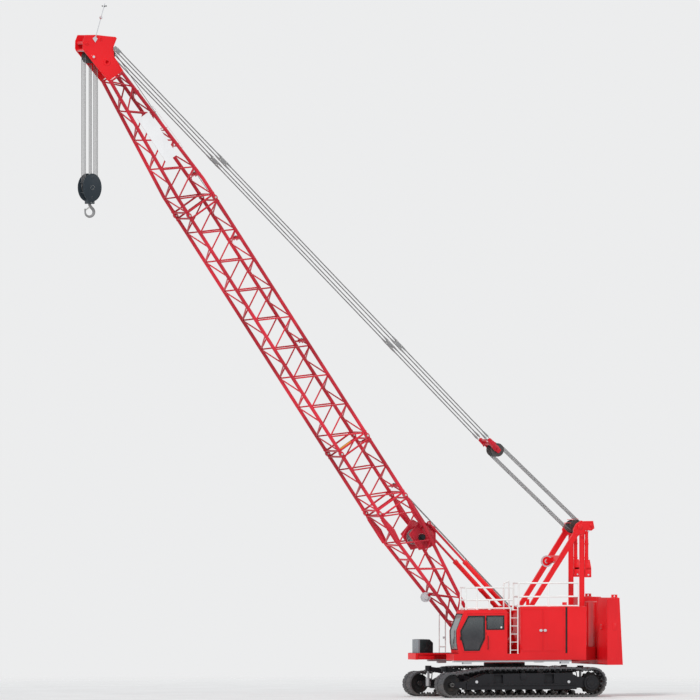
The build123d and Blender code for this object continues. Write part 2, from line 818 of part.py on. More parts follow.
def spaced(start, end, count):
    """Evenly spaced values from start to end."""
    return [start + (end - start) * i / count for i in range(count + 1)]


def boom_base():
    """Base section: tapers in both views down to the pin eyes at its foot."""
    stations = spaced(1150, JOINT_1 - 150, 9)
    section = lattice(stations, [500, TAPER_BASE_END, JOINT_1], [(1, 4600, 6900)])
    for side in (1, -1):
        y = side * FOOT_WIDTH / 2
        cheek = plate_xz(FOOT_CHEEK, y - 55, y + 55)
        section += cheek
        section -= disc(0, 0, FOOT_PIN_RADIUS + 2, y - 70, y + 70)
        y = side * WINCH_CHEEK_Y
        section += plate_xz(WINCH_CHEEK, y - 20, y + 20)
        y = side * BOOM_WIDTH / 2
        for level in (1, -1):
            outline = [(s, level * (t + CENTRE_DROP) - CENTRE_DROP) for s, t in BEND_PLATE]
            section += plate_xz(outline, y - 14, y + 14)
    for s in (5200, 6000):
        for level in (1, -1):
            ends = (corner(s, 1, level), corner(s, -1, level))
            section += bar(*ends, LACING_RADIUS + 9)
    s, t = REEL
    section += bar(corner(s, 1, -1), corner(s, -1, -1), LACING_RADIUS + 9)
    low = corner(s, 1, -1)[2]
    for y in (70, -90):
        hanger = [(s - 60, t - 60), (s + 60, t - 60), (s + 60, low), (s - 60, low)]
        section += plate_xz(hanger, y, y + 20)
    return section


def boom_top():
    """Top section: straight at first, then tapered to the head.

    The last bay is open underneath, where the falls swing in at a steep angle.
    """
    end = LATTICE_END - 60
    stations = spaced(JOINT_3 + 150, end, 9)
    bends = [JOINT_3, TAPER_TOP_START, LATTICE_END]
    return lattice(stations, bends, [(-1, stations[-2] - 1, LATTICE_END)], [(-1, end)])


def boom_head():
    """Head weldment: two cheeks with a horn, tied by plates and tubes."""
    head = None
    for side in (1, -1):
        y = side * (HEAD_WIDTH / 2)
        cheek = plate_xz(HEAD_CHEEK, y - 20, y + 20)
        cheek += wheel(BOOM_LENGTH, -CENTRE_DROP, 150, y - 40, y + 40)
        cheek -= disc(BOOM_LENGTH, -CENTRE_DROP, HEAD_HOLE, y - 60, y + 60)
        head = cheek if head is None else head + cheek
    nose = [(31120, 885), (31700, 200), (31670, 175), (31095, 855)]
    inside = HEAD_WIDTH / 2 - 10
    head += plate_xz(nose, -inside, inside)
    head += block(29900, 30500, -inside, inside, 290, 320)
    head += bar((30100, -inside, 60), (30100, inside, 60), 60, 10)
    for s, t in HEAD_ROLLERS:
        head += bar((s, -inside - 60, t), (s, inside + 60, t), 52, 10)
    return head


def base_drum():
    """Winch drum in the base section, with flanges, a gear and a stub shaft."""
    reach = WINCH_CHEEK_Y - 20
    s, t = BASE_DRUM
    body = wheel(s, t, 250, -430, 430) + wheel(s, t, 55, -reach, reach, 12)
    for y in (-430, 390):
        body += wheel(s, t, 330, y, y + 40, 24)
    return body


def tip_pole():
    """Slim instrument pole on a bracket at the side of the boom's nose."""
    s, t = 31600, 60
    y = HEAD_WIDTH / 2 + 20
    outline = [(s - 140, t - 90), (s + 80, t - 90), (s + 80, t + 60), (s - 60, t + 90)]
    foot = plate_xz(outline, y, y + 25)
    pole = bar((s, y + 20, t), (s + 1000, y + 20, t + 1200), 18)
    lamp = bar((s + 600, y - 60, t + 720), (s + 600, y + 90, t + 720), 50, 8)
    return foot + pole + lamp


def hook():
    """Single hook: shank, bowl and rounded tip cut from one forged outline."""
    bowl = 150
    centre_z = HOOK_BOWL_Z
    outer = Pos(HOOK_X, 0, centre_z) * (Rot(90, 0, 0) * Cylinder(250, 120))
    inner = Pos(HOOK_X + 15, 0, centre_z + 10) * (Rot(90, 0, 0) * Cylinder(bowl, 200))
    shape = outer - inner
    mouth = plate_xz(
        [
            (HOOK_X + 20, centre_z + 20),
            (HOOK_X + 60, centre_z + 330),
            (HOOK_X + 400, centre_z + 330),
            (HOOK_X + 400, centre_z + 60),
            (HOOK_X + 170, centre_z + 20),
        ],
        -120,
        120,
    )
    shape -= mouth
    shape += post(HOOK_X, 0, 62, centre_z + 190, BLOCK_Z - 430)
    return shape + post(HOOK_X, 0, 105, BLOCK_Z - 464, BLOCK_Z - 400)


def hook_block():
    """Fall block: oval cheeks, sheaves on a shaft and the hook's crosshead."""
    body = sheave_set(HOOK_X, BLOCK_Z, SHEAVE_RADIUS, FALL_Y, 340, 60)
    for y in (-340, 300):
        cheek = extrude(Plane.XZ * Pos(HOOK_X, BLOCK_Z) * Ellipse(425, 600), amount=40, dir=(0, 1, 0))
        body += Pos(0, y, 0) * cheek
    body += block(HOOK_X - 120, HOOK_X + 120, -310, 310, BLOCK_Z - 700, BLOCK_Z - 470)
    return body - post(HOOK_X, 0, 70, BLOCK_Z - 720, BLOCK_Z - 460)


# ---------------------------------------------------------------- stays
def along(start, end, share):
    """A point part of the way from start to end in the X-Z plane."""
    return (start[0] + (end[0] - start[0]) * share, start[1] + (end[1] - start[1]) * share)


def pendants():
    """Two stays of paired ropes from the boom head to the bridle."""
    angle = math.atan2(STAY_HEAD[1] - BRIDLE_END[1], STAY_HEAD[0] - BRIDLE_END[0])
    shift = (-math.sin(angle) * STAY_SPREAD, math.cos(angle) * STAY_SPREAD)
    found = []
    for side in (1, -1):
        pieces = []
        y = side * STAY_Y
        for sign in (1, -1):
            start = (BRIDLE_END[0] + sign * shift[0], y, BRIDLE_END[1] + sign * shift[1])
            end = (STAY_HEAD[0] + sign * shift[0], y, STAY_HEAD[1] + sign * shift[1])
            pieces.append(bar(start, end, STAY_RADIUS))
        for share in STAY_LINKS:
            low = along(BRIDLE_END, STAY_HEAD, share - 0.009)
            high = along(BRIDLE_END, STAY_HEAD, share + 0.009)
            pieces.append(strut_xz(low, high, 200, 200, y - 32, y + 32))
        socket = along(BRIDLE_END, STAY_HEAD, 0.986)
        pieces.append(strut_xz(socket, STAY_HEAD, 190, 190, y - 45, y + 45))
        found.append(joined(pieces))
    return found


def bridle():
    """Floating spreader: side links, cross tube and its row of sheaves."""
    body = sheave_set(*BRIDLE_SHEAVE, REEVE_RADIUS, REEVE_Y, BRIDLE_HALF, 45)
    tube = along(BRIDLE_SHEAVE, BRIDLE_END, 0.62)
    for y in (BRIDLE_HALF - 25, -BRIDLE_HALF - 25):
        body += strut_xz(BRIDLE_SHEAVE, along(BRIDLE_SHEAVE, BRIDLE_END, 0.75), 240, 220, y, y + 50)
    inner = along(BRIDLE_SHEAVE, BRIDLE_END, 0.5)
    outer = along(BRIDLE_SHEAVE, BRIDLE_END, 0.97)
    for y in (STAY_Y - 30, -STAY_Y - 30):
        body += strut_xz(inner, outer, 230, 200, y, y + 60)
    return body + bar((tube[0], -STAY_Y, tube[1]), (tube[0], STAY_Y, tube[1]), 75, 12)


def boom_hoist_ropes():
    """Parts of line between the gantry's sheaves and the bridle's."""
    angle = math.atan2(BRIDLE_SHEAVE[1] - REEVE_Z, BRIDLE_SHEAVE[0] - REEVE_X)
    reach = REEVE_RADIUS + ROPE_RADIUS + 2
    found = []
    for sign in (1, -1):
        dx, dz = -math.sin(angle) * reach * sign, math.cos(angle) * reach * sign
        for y in REEVE_Y:
            start = (REEVE_X + dx, y, REEVE_Z + dz)
            end = (BRIDLE_SHEAVE[0] + dx, y, BRIDLE_SHEAVE[1] + dz)
            found.append(bar(start, end, ROPE_RADIUS, 5))
    return found


def hoist_falls():
    """Parts of line that hang from the head sheaves to the fall block."""
    reach = SHEAVE_RADIUS + ROPE_RADIUS + 2
    found = []
    for sign in (1, -1):
        for y in FALL_Y:
            x = HOOK_X + sign * reach
            found.append(bar((x, y, HEAD_SHEAVE_Z), (x, y, BLOCK_Z), ROPE_RADIUS, 5))
    return found


def backstop_line(distance, y):
    """A point along a backstop, from its foot pin, as X, Y, Z."""
    length = math.dist(BACKSTOP_FOOT, BACKSTOP_EYE)
    x, z = along(BACKSTOP_FOOT, BACKSTOP_EYE, distance / length)
    return (x, y, z)


def backstop_tubes():
    """Outer tubes of the two telescopic backstops, eyes at their feet."""
    found = []
    for y in (BACKSTOP_Y, -BACKSTOP_Y):
        tube = bar(backstop_line(240, y), backstop_line(BACKSTOP_TUBE, y), 100, 10)
        tube -= bar(backstop_line(260, y), backstop_line(BACKSTOP_TUBE + 20, y), 66, 10)
        neck = (backstop_line(250, y)[0], backstop_line(250, y)[2])
        tube += strut_xz(BACKSTOP_FOOT, neck, 150, 150, y - 40, y + 40)
        tube += disc(*BACKSTOP_FOOT, 100, y - 40, y + 40)
        found.append(tube - disc(*BACKSTOP_FOOT, 42, y - 60, y + 60))
    return found


def backstop_rods():
    """Inner rods of the backstops with the eyes that meet the boom."""
    length = math.dist(BACKSTOP_FOOT, BACKSTOP_EYE)
    found = []
    for y in (BACKSTOP_Y, -BACKSTOP_Y):
        rod = bar(backstop_line(length - BACKSTOP_ROD, y), backstop_line(length, y), 52, 10)
        found.append(rod + disc(*BACKSTOP_EYE, 85, y - 40, y + 40))
    return found

# ---------------------------------------------------------------- write: crawlers and carbody
save("track_left", track(1))
save("track_right", track(-1))
save("crawler_frame_left", crawler_frame(1))
save("crawler_frame_right", crawler_frame(-1))
save("running_gear", running_gear(1) + running_gear(-1))
save("travel_drives", [travel_drive(1), travel_drive(-1)])
save("carbody", carbody())
save("carbody_jacks", jacks())
save("slew_ring", post(0, 0, RING_RADIUS, RING_BOTTOM, RING_TOP - RING_GAP))

# ---------------------------------------------------------------- write: rotating bed
save("rotating_bed", rotating_bed())
save("side_decks", [side_deck(1, LEFT_DECK_FRONT), side_deck(-1, RIGHT_DECK_FRONT)])
save("edge_strips", edge_strips())
save("house_left", house(1))
save("house_right", house(-1))
save("engine_block", block(-2000, -350, -1560, -880, SILL_TOP, SILL_TOP + 1250))
save("cab_shell", cab_shell())
save("cab_glass", cab_glass())
save("cab_inside", cab_inside())
save("ladder", ladder())
rails = [
    rail_frame(CAB_POSTS, 1550, 900, (3800, 4160, 4690), 3740),
    rail_frame(HOUSE_POSTS, 1550, 900, (3890, 4290, 4870), HOUSE_TOP),
]
save("handrails", rails)
save("winch_drums", [drum(x, z, 260, 400, 440) for x, z in WINCHES])
save("winch_plates", winch_plates())
save("gantry_frame", gantry_frame())
save("gantry_sheaves", sheave_set(REEVE_X, REEVE_Z, REEVE_RADIUS, REEVE_Y, GANTRY_Y - 60, 45))
save("gantry_links", gantry_links())
save("gantry_rods", gantry_rods())
tray = counterweight_layer(-CW_HALF_WIDTH, CW_HALF_WIDTH, CW_FRONT, CW_BOTTOM, CW_TRAY_TOP)
save("counterweight_tray", tray)
save("counterweight_blocks", counterweight_blocks())
save("equipment_box", equipment_box())
save("grab_rail", grab_rail())
save("boom_hoist_ropes", boom_hoist_ropes())

# ---------------------------------------------------------------- write: doors
save("house_door_front_left", house_door(DOOR_FRONT, 1))
save("house_door_rear_left", house_door(DOOR_REAR, 1))
save("house_door_front_right", house_door(DOOR_FRONT, -1))
save("house_door_rear_right", house_door(DOOR_REAR, -1))
save("cab_door", cab_door())
save("cab_door_glass", plate_xz(CAB_DOOR_GLASS, SIDE_Y - 26, SIDE_Y - 14))

# ---------------------------------------------------------------- write: boom
short = lattice(spaced(JOINT_1 + 150, JOINT_2 - 150, 4), [JOINT_1, JOINT_2])
long = lattice(spaced(JOINT_2 + 150, JOINT_3 - 150, 16), [JOINT_2, JOINT_3])
head_sheaves = sheave_set(SHEAVE_S, SHEAVE_T, SHEAVE_RADIUS, FALL_Y, HEAD_WIDTH / 2 - 20, 60)
cable_reel = wheel(*REEL, 210, -60, 60, 24) + wheel(*REEL, 40, -70, 70, 12)
save("boom_base", BOOM * boom_base())
save("boom_insert_short", BOOM * short)
save("boom_insert_long", BOOM * long)
save("boom_top", BOOM * boom_top())
save("boom_head", BOOM * boom_head())
save("head_sheaves", BOOM * head_sheaves)
save("base_winch_drum", BOOM * base_drum())
save("cable_reel", BOOM * cable_reel)
save("sign_panel", BOOM * plate_xy(PANEL, -330, 270))
save("tip_pole", BOOM * tip_pole())
save("pendants", pendants())
save("bridle", bridle())

# ---------------------------------------------------------------- write: backstops, falls and hook
save("backstop_tubes", backstop_tubes())
save("backstop_rods", backstop_rods())
save("hoist_falls", hoist_falls())
save("hook_block", hook_block())
save("hook", hook())
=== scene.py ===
"""Crawler crane with a lattice boom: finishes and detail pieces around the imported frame.

All places are in metres: X forward along the boom, Y to the cab side, Z up, with the origin
on the slewing axis at ground level. Places along the boom are given as s, the distance from
the foot pin, y across, and t, the height above the line through foot pin and head pin.
"""

import json
import logging
import math
from dataclasses import dataclass
from enum import Enum
from itertools import product
from typing import Iterable, Sequence

import bmesh
import bpy
from mathutils import Matrix, Vector

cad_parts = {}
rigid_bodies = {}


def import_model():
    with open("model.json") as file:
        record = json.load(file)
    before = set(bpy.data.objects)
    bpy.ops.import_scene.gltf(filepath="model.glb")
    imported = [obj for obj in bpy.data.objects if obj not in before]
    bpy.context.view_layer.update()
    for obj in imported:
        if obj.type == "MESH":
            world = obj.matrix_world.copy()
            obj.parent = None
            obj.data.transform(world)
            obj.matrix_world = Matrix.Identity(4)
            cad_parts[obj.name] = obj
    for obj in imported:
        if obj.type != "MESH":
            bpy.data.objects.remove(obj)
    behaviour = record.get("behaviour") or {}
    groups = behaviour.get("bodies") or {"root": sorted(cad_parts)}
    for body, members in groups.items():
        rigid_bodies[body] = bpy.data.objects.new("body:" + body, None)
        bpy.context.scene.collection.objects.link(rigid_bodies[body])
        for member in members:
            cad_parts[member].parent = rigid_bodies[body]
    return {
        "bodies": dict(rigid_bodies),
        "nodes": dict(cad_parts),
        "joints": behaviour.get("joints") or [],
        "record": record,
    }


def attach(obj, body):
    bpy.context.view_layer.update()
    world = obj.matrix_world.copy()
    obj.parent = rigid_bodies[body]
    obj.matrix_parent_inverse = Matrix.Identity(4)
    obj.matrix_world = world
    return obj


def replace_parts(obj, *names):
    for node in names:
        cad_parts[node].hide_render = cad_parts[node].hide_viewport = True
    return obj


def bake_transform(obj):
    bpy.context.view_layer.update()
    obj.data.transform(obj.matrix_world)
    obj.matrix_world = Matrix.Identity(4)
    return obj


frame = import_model()
log = logging.getLogger("crane")
logging.basicConfig(level=logging.INFO, format="%(message)s")

Point = tuple[float, float, float]
Flat = tuple[float, float]
Colour = tuple[float, float, float]

UP: Point = (0.0, 0.0, 1.0)
ACROSS: Point = (0.0, 1.0, 0.0)
PRIMER: Colour = (0.30, 0.29, 0.28)
SHARP_FROM, SHARP_TO = 0.85, 0.97


def paint(code: str) -> Colour:
    """Linear colour from a six-digit screen code.

    Args:
        code: Red, green and blue as two hexadecimal digits each.
    Returns:
        The colour as the shader wants it.
    """
    parts = [int(code[i : i + 2], 16) / 255 for i in (0, 2, 4)]
    linear = [p / 12.92 if p <= 0.04045 else ((p + 0.055) / 1.055) ** 2.4 for p in parts]
    return linear[0], linear[1], linear[2]


def dim(colour: Colour, share: float) -> Colour:
    """A colour with only a share of its light."""
    return tuple(part * share for part in colour)


# ------------------------------------------------------------------------- shading tools
class Signal:
    """A node socket that can be added, scaled and divided as if it were a number."""

    def __init__(self, shade: "Shade", socket: bpy.types.NodeSocket) -> None:
        """Keep the socket and the material that it belongs to."""
        self.shade = shade
        self.socket = socket

    def _math(self, operation: str, *values: "Signal | float", clamp: bool = False) -> "Signal":
        """One Math node on the given values."""
        settings = {"operation": operation, "use_clamp": clamp}
        return self.shade.node("ShaderNodeMath", settings, dict(enumerate(values)))

    def __add__(self, other: "Signal | float") -> "Signal":
        """Sum."""
        return self._math("ADD", self, other)

    __radd__ = __add__

    def __sub__(self, other: "Signal | float") -> "Signal":
        """Difference."""
        return self._math("SUBTRACT", self, other)

    def __rsub__(self, other: "Signal | float") -> "Signal":
        """Difference from a number."""
        return self._math("SUBTRACT", other, self)

    def __mul__(self, other: "Signal | float") -> "Signal":
        """Product."""
        return self._math("MULTIPLY", self, other)

    __rmul__ = __mul__

    def __truediv__(self, other: "Signal | float") -> "Signal":
        """Quotient."""
        return self._math("DIVIDE", self, other)

    def __abs__(self) -> "Signal":
        """Size without its sign."""
        return self._math("ABSOLUTE", self)

    def both(self, other: "Signal") -> "Signal":
        """The greater of two masks."""
        return self._math("MAXIMUM", self, other)

    def wave(self) -> "Signal":
        """Sine."""
        return self._math("SINE", self)

    def clamped(self) -> "Signal":
        """Held between nought and one."""
        return self._math("ADD", self, 0.0, clamp=True)

    def step(self, low: float, high: float) -> "Signal":
        """Smooth step from nought at low to one at high."""
        settings = {"interpolation_type": "SMOOTHSTEP"}
        return self.shade.node("ShaderNodeMapRange", settings, {0: self, 1: low, 2: high})


class Shade:
    """One material under construction, with a single Principled shader."""

    def __init__(self, name: str) -> None:
        """Start a material and find its shader."""
        self.material = bpy.data.materials.new(name)
        self.material.use_nodes = True
        self.tree = self.material.node_tree
        self.shader = self.tree.nodes["Principled BSDF"]
        self.output = self.tree.nodes["Material Output"]

    def node(
        self, kind: str, settings: dict[str, object], inputs: dict, output: int | str = 0
    ) -> Signal:
        """Any node, its settings made first and its sockets after.

        Args:
            kind: The node's type.
            settings: Attributes of the node.
            inputs: Values or signals by socket name or number.
            output: Which output to hand back.
        Returns:
            The chosen output as a signal.
        """
        made = self.tree.nodes.new(kind)
        for key, value in settings.items():
            setattr(made, key, value)
        for key, value in inputs.items():
            self.feed(made.inputs[key], value)
        return Signal(self, made.outputs[output])

    def feed(self, socket: bpy.types.NodeSocket, value: object) -> None:
        """Link a signal to a socket, or set the socket's own value."""
        if isinstance(value, Signal):
            self.tree.links.new(value.socket, socket)
        elif isinstance(value, tuple) and len(value) == 3 and socket.type == "RGBA":
            socket.default_value = (*value, 1.0)
        else:
            socket.default_value = value

    def place(self, stretch: Point = (1.0, 1.0, 1.0)) -> Signal:
        """Object coordinates, stretched along the axes."""
        found = self.node("ShaderNodeTexCoord", {}, {}, "Object")
        if stretch == (1.0, 1.0, 1.0):
            return found
        return self.node("ShaderNodeMapping", {}, {"Vector": found, "Scale": stretch})

    def noise(self, scale: float, detail: float = 4.0, stretch: Point = (1.0, 1.0, 1.0)) -> Signal:
        """Fractal noise around one half."""
        inputs = {"Vector": self.place(stretch), "Scale": scale, "Detail": detail}
        return self.node("ShaderNodeTexNoise", {}, inputs, "Fac")

    def spots(self, scale: float) -> Signal:
        """Distance to the nearest of many scattered points."""
        return self.node("ShaderNodeTexVoronoi", {}, {"Vector": self.place(), "Scale": scale})

    def part(self, vector: Signal, axis: str) -> Signal:
        """One part of a vector, named X, Y or Z."""
        return self.node("ShaderNodeSeparateXYZ", {}, {0: vector}, axis)

    def along(self, first: Signal, second: Signal | Point) -> Signal:
        """How far one direction goes along another."""
        inputs = {0: first, 1: second}
        return self.node("ShaderNodeVectorMath", {"operation": "DOT_PRODUCT"}, inputs, "Value")

    def facing(self, direction: Point) -> Signal:
        """How far the surface faces a direction, from minus one to one."""
        return self.along(self.node("ShaderNodeNewGeometry", {}, {}, "Normal"), direction)

    def height(self) -> Signal:
        """Height above the ground."""
        return self.part(self.place(), "Z")

    def edges(self, radius: float) -> Signal:
        """One at sharp edges, nought on flats."""
        rounded = self.node("ShaderNodeBevel", {"samples": 3}, {"Radius": radius})
        normal = self.node("ShaderNodeNewGeometry", {}, {}, "Normal")
        return 1 - self.along(rounded, normal).step(SHARP_FROM, SHARP_TO)

    def mix(self, share: Signal | float, first: object, second: object) -> Signal:
        """Blend of two colours."""
        return self.node(
            "ShaderNodeMix", {"data_type": "RGBA"}, {0: share, 6: first, 7: second}, 2
        )

    def bump(self, height: Signal, distance: float, strength: float = 1.0) -> Signal:
        """Surface relief from a height signal."""
        inputs = {"Height": height, "Distance": distance, "Strength": strength}
        return self.node("ShaderNodeBump", {}, inputs)

    def done(self, **sockets: object) -> bpy.types.Material:
        """Feed the shader's sockets, named with underscores, and hand back the material."""
        for key, value in sockets.items():
            label = key.replace("_", " ").title().replace("Ior", "IOR")
            self.feed(self.shader.inputs[label], value)
        return self.material


# ------------------------------------------------------------------------- finishes
class Grade(Enum):
    """How hard a painted part has worked: share of edges worn, dust and grime."""

    FRESH = (0.25, 0.12, 0.25)
    WORKED = (0.55, 0.25, 0.45)
    HARD = (0.9, 0.55, 0.8)


@dataclass(frozen=True)
class Enamel:
    """Machine paint: sheen, faint runs, dust on top faces and chips at the edges, which on the
    lattice paint are pale pink as painted highlight as well as wear.
    """

    name: str
    colour: Colour
    # Colour of chipped paint; on the lattice paint a pale pink that is also a painted highlight on
    # the edges.
    chip_and_glint: Colour
    roughness: float = 0.34
    grade: Grade = Grade.WORKED
    dust: Colour = (0.36, 0.31, 0.26)
    edge: float = 0.008
    fade: float = 0.12

    def build(self) -> bpy.types.Material:
        """The paint's material."""
        wear, dusty, grimy = self.grade.value
        shade = Shade(self.name)
        cloud = shade.noise(0.45, 5)
        fine = shade.noise(9, 6)
        runs = shade.noise(3.2, 5, (2.2, 2.2, 0.16))
        deep = dim(self.colour, 0.72)
        pale = tuple(min(1.0, c * (1 + self.fade) + 0.02 * self.fade) for c in self.colour)
        base = shade.mix(cloud.step(0.32, 0.68), deep if self.fade > 0.2 else self.colour, pale)
        streak = runs.step(0.56, 0.74) * (1 - abs(shade.facing(UP))) * (0.28 * grimy)
        base = shade.mix(streak, base, dim(self.colour, 0.45))
        up = shade.facing(UP).step(0.25, 0.95)
        film = (up * fine.step(0.3, 0.75) * dusty).clamped()
        base = shade.mix(film, base, self.dust)
        broken = (fine + 0.35 * cloud).step(0.78 - 0.2 * wear, 0.9)
        worn = (shade.edges(self.edge) * broken).clamped()
        pocks = (1 - shade.spots(11).step(0.02, 0.05 + 0.03 * wear)) * cloud.step(0.5, 0.6)
        chips_and_glints = worn.both(pocks * (0.5 * wear))
        # Chips and spots take the chip colour; on the lattice paint it is pale pink, painted
        # highlight as well as wear.
        base = shade.mix(chips_and_glints * wear, base, self.chip_and_glint)
        rough = self.roughness + 0.10 * (fine - 0.5) + 0.30 * film + 0.22 * chips_and_glints + 0.12 * streak
        relief = shade.noise(240, 2) * 0.25 + shade.noise(1.4, 2) * 6.0 - chips_and_glints * 0.5
        return shade.done(
            base_color=base,
            roughness=rough.clamped(),
            normal=shade.bump(relief, 0.0012, 0.5),
            coat_weight=0.12 if self.roughness < 0.4 else 0.0,
            coat_roughness=0.18,
            specular_ior_level=0.25,
        )


@dataclass(frozen=True)
class CastSteel:
    """Bare cast or forged steel: grain, patches of rust, rubbed edges and soil low down."""

    name: str
    colour: Colour
    rust: Colour = (0.16, 0.075, 0.035)
    rubbed: Colour = (0.42, 0.41, 0.40)
    roughness: float = 0.62
    rusty: float = 0.35
    soil: float = 0.0
    metal: float = 0.55

    def build(self) -> bpy.types.Material:
        """The steel's material."""
        shade = Shade(self.name)
        cloud = shade.noise(2.3, 6)
        grain = shade.noise(46, 5)
        base = shade.mix(grain.step(0.25, 0.8), dim(self.colour, 0.7), self.colour)
        rust = (cloud + 0.4 * grain).step(0.66, 0.86) * self.rusty
        base = shade.mix(rust, base, self.rust)
        rubbed = (shade.edges(0.009) * grain.step(0.36, 0.62)).clamped() * 0.8
        base = shade.mix(rubbed, base, self.rubbed)
        metal = self.metal * (1 - rust) + 0.25 * rubbed
        rough = self.roughness + 0.2 * (grain - 0.5) - 0.24 * rubbed + 0.1 * rust
        if self.soil > 0:
            low = 1 - shade.height().step(0.05, 1.5)
            cake = (low * 0.7 + (cloud - 0.5) * 0.9).step(0.28, 0.8) * self.soil
            base = shade.mix(cake, base, (0.20, 0.165, 0.13))
            rough = rough + 0.25 * cake
            metal = metal * (1 - cake)
        return shade.done(
            base_color=base,
            roughness=rough.clamped(),
            metallic=metal.clamped(),
            normal=shade.bump(grain + 0.5 * cloud, 0.0022, 0.7),
        )


@dataclass(frozen=True)
class TurnedSteel:
    """Machined or chromed steel with fine tool marks and an oil film."""

    name: str
    colour: Colour = (0.56, 0.56, 0.57)
    roughness: float = 0.24
    marks: float = 0.3

    def build(self) -> bpy.types.Material:
        """The steel's material."""
        shade = Shade(self.name)
        lines = shade.noise(60, 3, (1.0, 1.0, 9.0))
        cloud = shade.noise(3.0, 5)
        base = shade.mix(cloud.step(0.42, 0.75) * 0.5, self.colour, dim(self.colour, 0.5))
        rough = self.roughness + 0.14 * lines + 0.2 * cloud.step(0.5, 0.8)
        return shade.done(
            base_color=base,
            metallic=0.92,
            roughness=rough.clamped(),
            normal=shade.bump(lines, 0.0006, self.marks),
        )


@dataclass(frozen=True)
class LaidRope:
    """Wire rope: strands that wind round it, the grooves between them painted dark as shade."""

    name: str
    colour: Colour = (0.40, 0.40, 0.405)
    strands: float = 6.0
    lay: float = 0.16

    def build(self) -> bpy.types.Material:
        """The rope's material, read from the rope's own map."""
        shade = Shade(self.name)
        map_uv = shade.node("ShaderNodeUVMap", {"uv_map": "lay"}, {})
        around, length = shade.part(map_uv, "X"), shade.part(map_uv, "Y")
        phase = (around * self.strands + length / self.lay) * (2 * math.pi)
        crown = phase.wave() * 0.5 + 0.5
        wires = ((around * 40 - length / 0.02) * (2 * math.pi)).wave() * 0.5 + 0.5
        worn = shade.noise(5, 4).step(0.45, 0.7)
        # Grooves between the strands and between the wires are painted dark: painted shade.
        dark = dim(self.colour, 0.22)
        base = shade.mix(crown.step(0.1, 0.75), dark, self.colour)
        base = shade.mix(worn * crown * 0.4, base, (0.55, 0.54, 0.53))
        base = shade.mix(wires * 0.25, base, dark)
        return shade.done(
            base_color=base,
            metallic=0.55,
            roughness=(0.55 - 0.15 * crown).clamped(),
            normal=shade.bump(crown + 0.25 * wires, 0.003, 1.0),
        )


@dataclass(frozen=True)
class Glazing:
    """Tinted safety glass with a little dust, paler towards its top and to the front by painted
    reflection and painted glare.
    """

    name: str
    colour: Colour = (0.02, 0.019, 0.026)
    # Upper: painted sky reflection, paler towards the top of the panes.
    upper: Colour = (0.10, 0.115, 0.12)
    # Front: pale teal painted glare on panes that face forward.
    front: Colour = (0.33, 0.37, 0.37)
    cover: float = 0.78

    def build(self) -> bpy.types.Material:
        """The glass's material."""
        shade = Shade(self.name)
        haze = shade.noise(1.8, 4).step(0.35, 0.8)
        specks = shade.noise(55, 4).step(0.62, 0.78)
        low = 1 - shade.height().step(2.0, 2.9)
        film = (haze * 0.10 + specks * 0.08 + low * 0.10).clamped()
        # Paler towards the top: painted reflection of the sky.
        tint = shade.mix(shade.height().step(2.3, 3.6), self.colour, self.upper)
        # Paler on panes that face forward: painted glare.
        tint = shade.mix(shade.facing((1.0, 0.0, 0.0)).step(0.3, 0.7), tint, self.front)
        base = shade.mix(film * 0.6, tint, (0.30, 0.29, 0.27))
        return shade.done(
            base_color=base,
            roughness=(0.03 + film * 0.8).clamped(),
            alpha=(self.cover + film).clamped(),
            specular_ior_level=0.7,
            coat_weight=0.4,
            coat_roughness=0.02,
        )


@dataclass(frozen=True)
class Moulded:
    """Rubber, plastic or woven trim with a fine grain."""

    name: str
    colour: Colour
    roughness: float = 0.6
    grain: float = 160.0
    depth: float = 0.0006
    weave: bool = False

    def build(self) -> bpy.types.Material:
        """The trim's material."""
        shade = Shade(self.name)
        cloud = shade.noise(2.6, 4)
        base = shade.mix(cloud.step(0.35, 0.7), dim(self.colour, 0.75), self.colour)
        scuff = shade.noise(14, 5).step(0.62, 0.8) * 0.3
        base = shade.mix(scuff, base, tuple(min(1.0, c * 1.6 + 0.03) for c in self.colour))
        relief = shade.noise(self.grain, 3)
        if self.weave:
            threads = shade.place((330.0, 330.0, 330.0))
            woven = shade.part(threads, "X").wave() * shade.part(threads, "Z").wave()
            relief = relief + woven * 0.6
        return shade.done(
            base_color=base,
            roughness=(self.roughness + 0.15 * (cloud - 0.5) + 0.1 * scuff).clamped(),
            normal=shade.bump(relief, self.depth, 0.8),
            specular_ior_level=0.35,
        )


@dataclass(frozen=True)
class Lamp:
    """Lens of a lamp, clear or coloured, with its ribs."""

    name: str
    colour: Colour

    def build(self) -> bpy.types.Material:
        """The lens's material."""
        shade = Shade(self.name)
        ribs = shade.part(shade.place((260.0, 260.0, 260.0)), "Z").wave()
        base = shade.mix((ribs * 0.5 + 0.5) * 0.35, self.colour, dim(self.colour, 0.6))
        return shade.done(
            base_color=base,
            roughness=(0.12 + 0.1 * shade.noise(20, 3)).clamped(),
            normal=shade.bump(ribs, 0.0012, 0.6),
            specular_ior_level=0.6,
        )


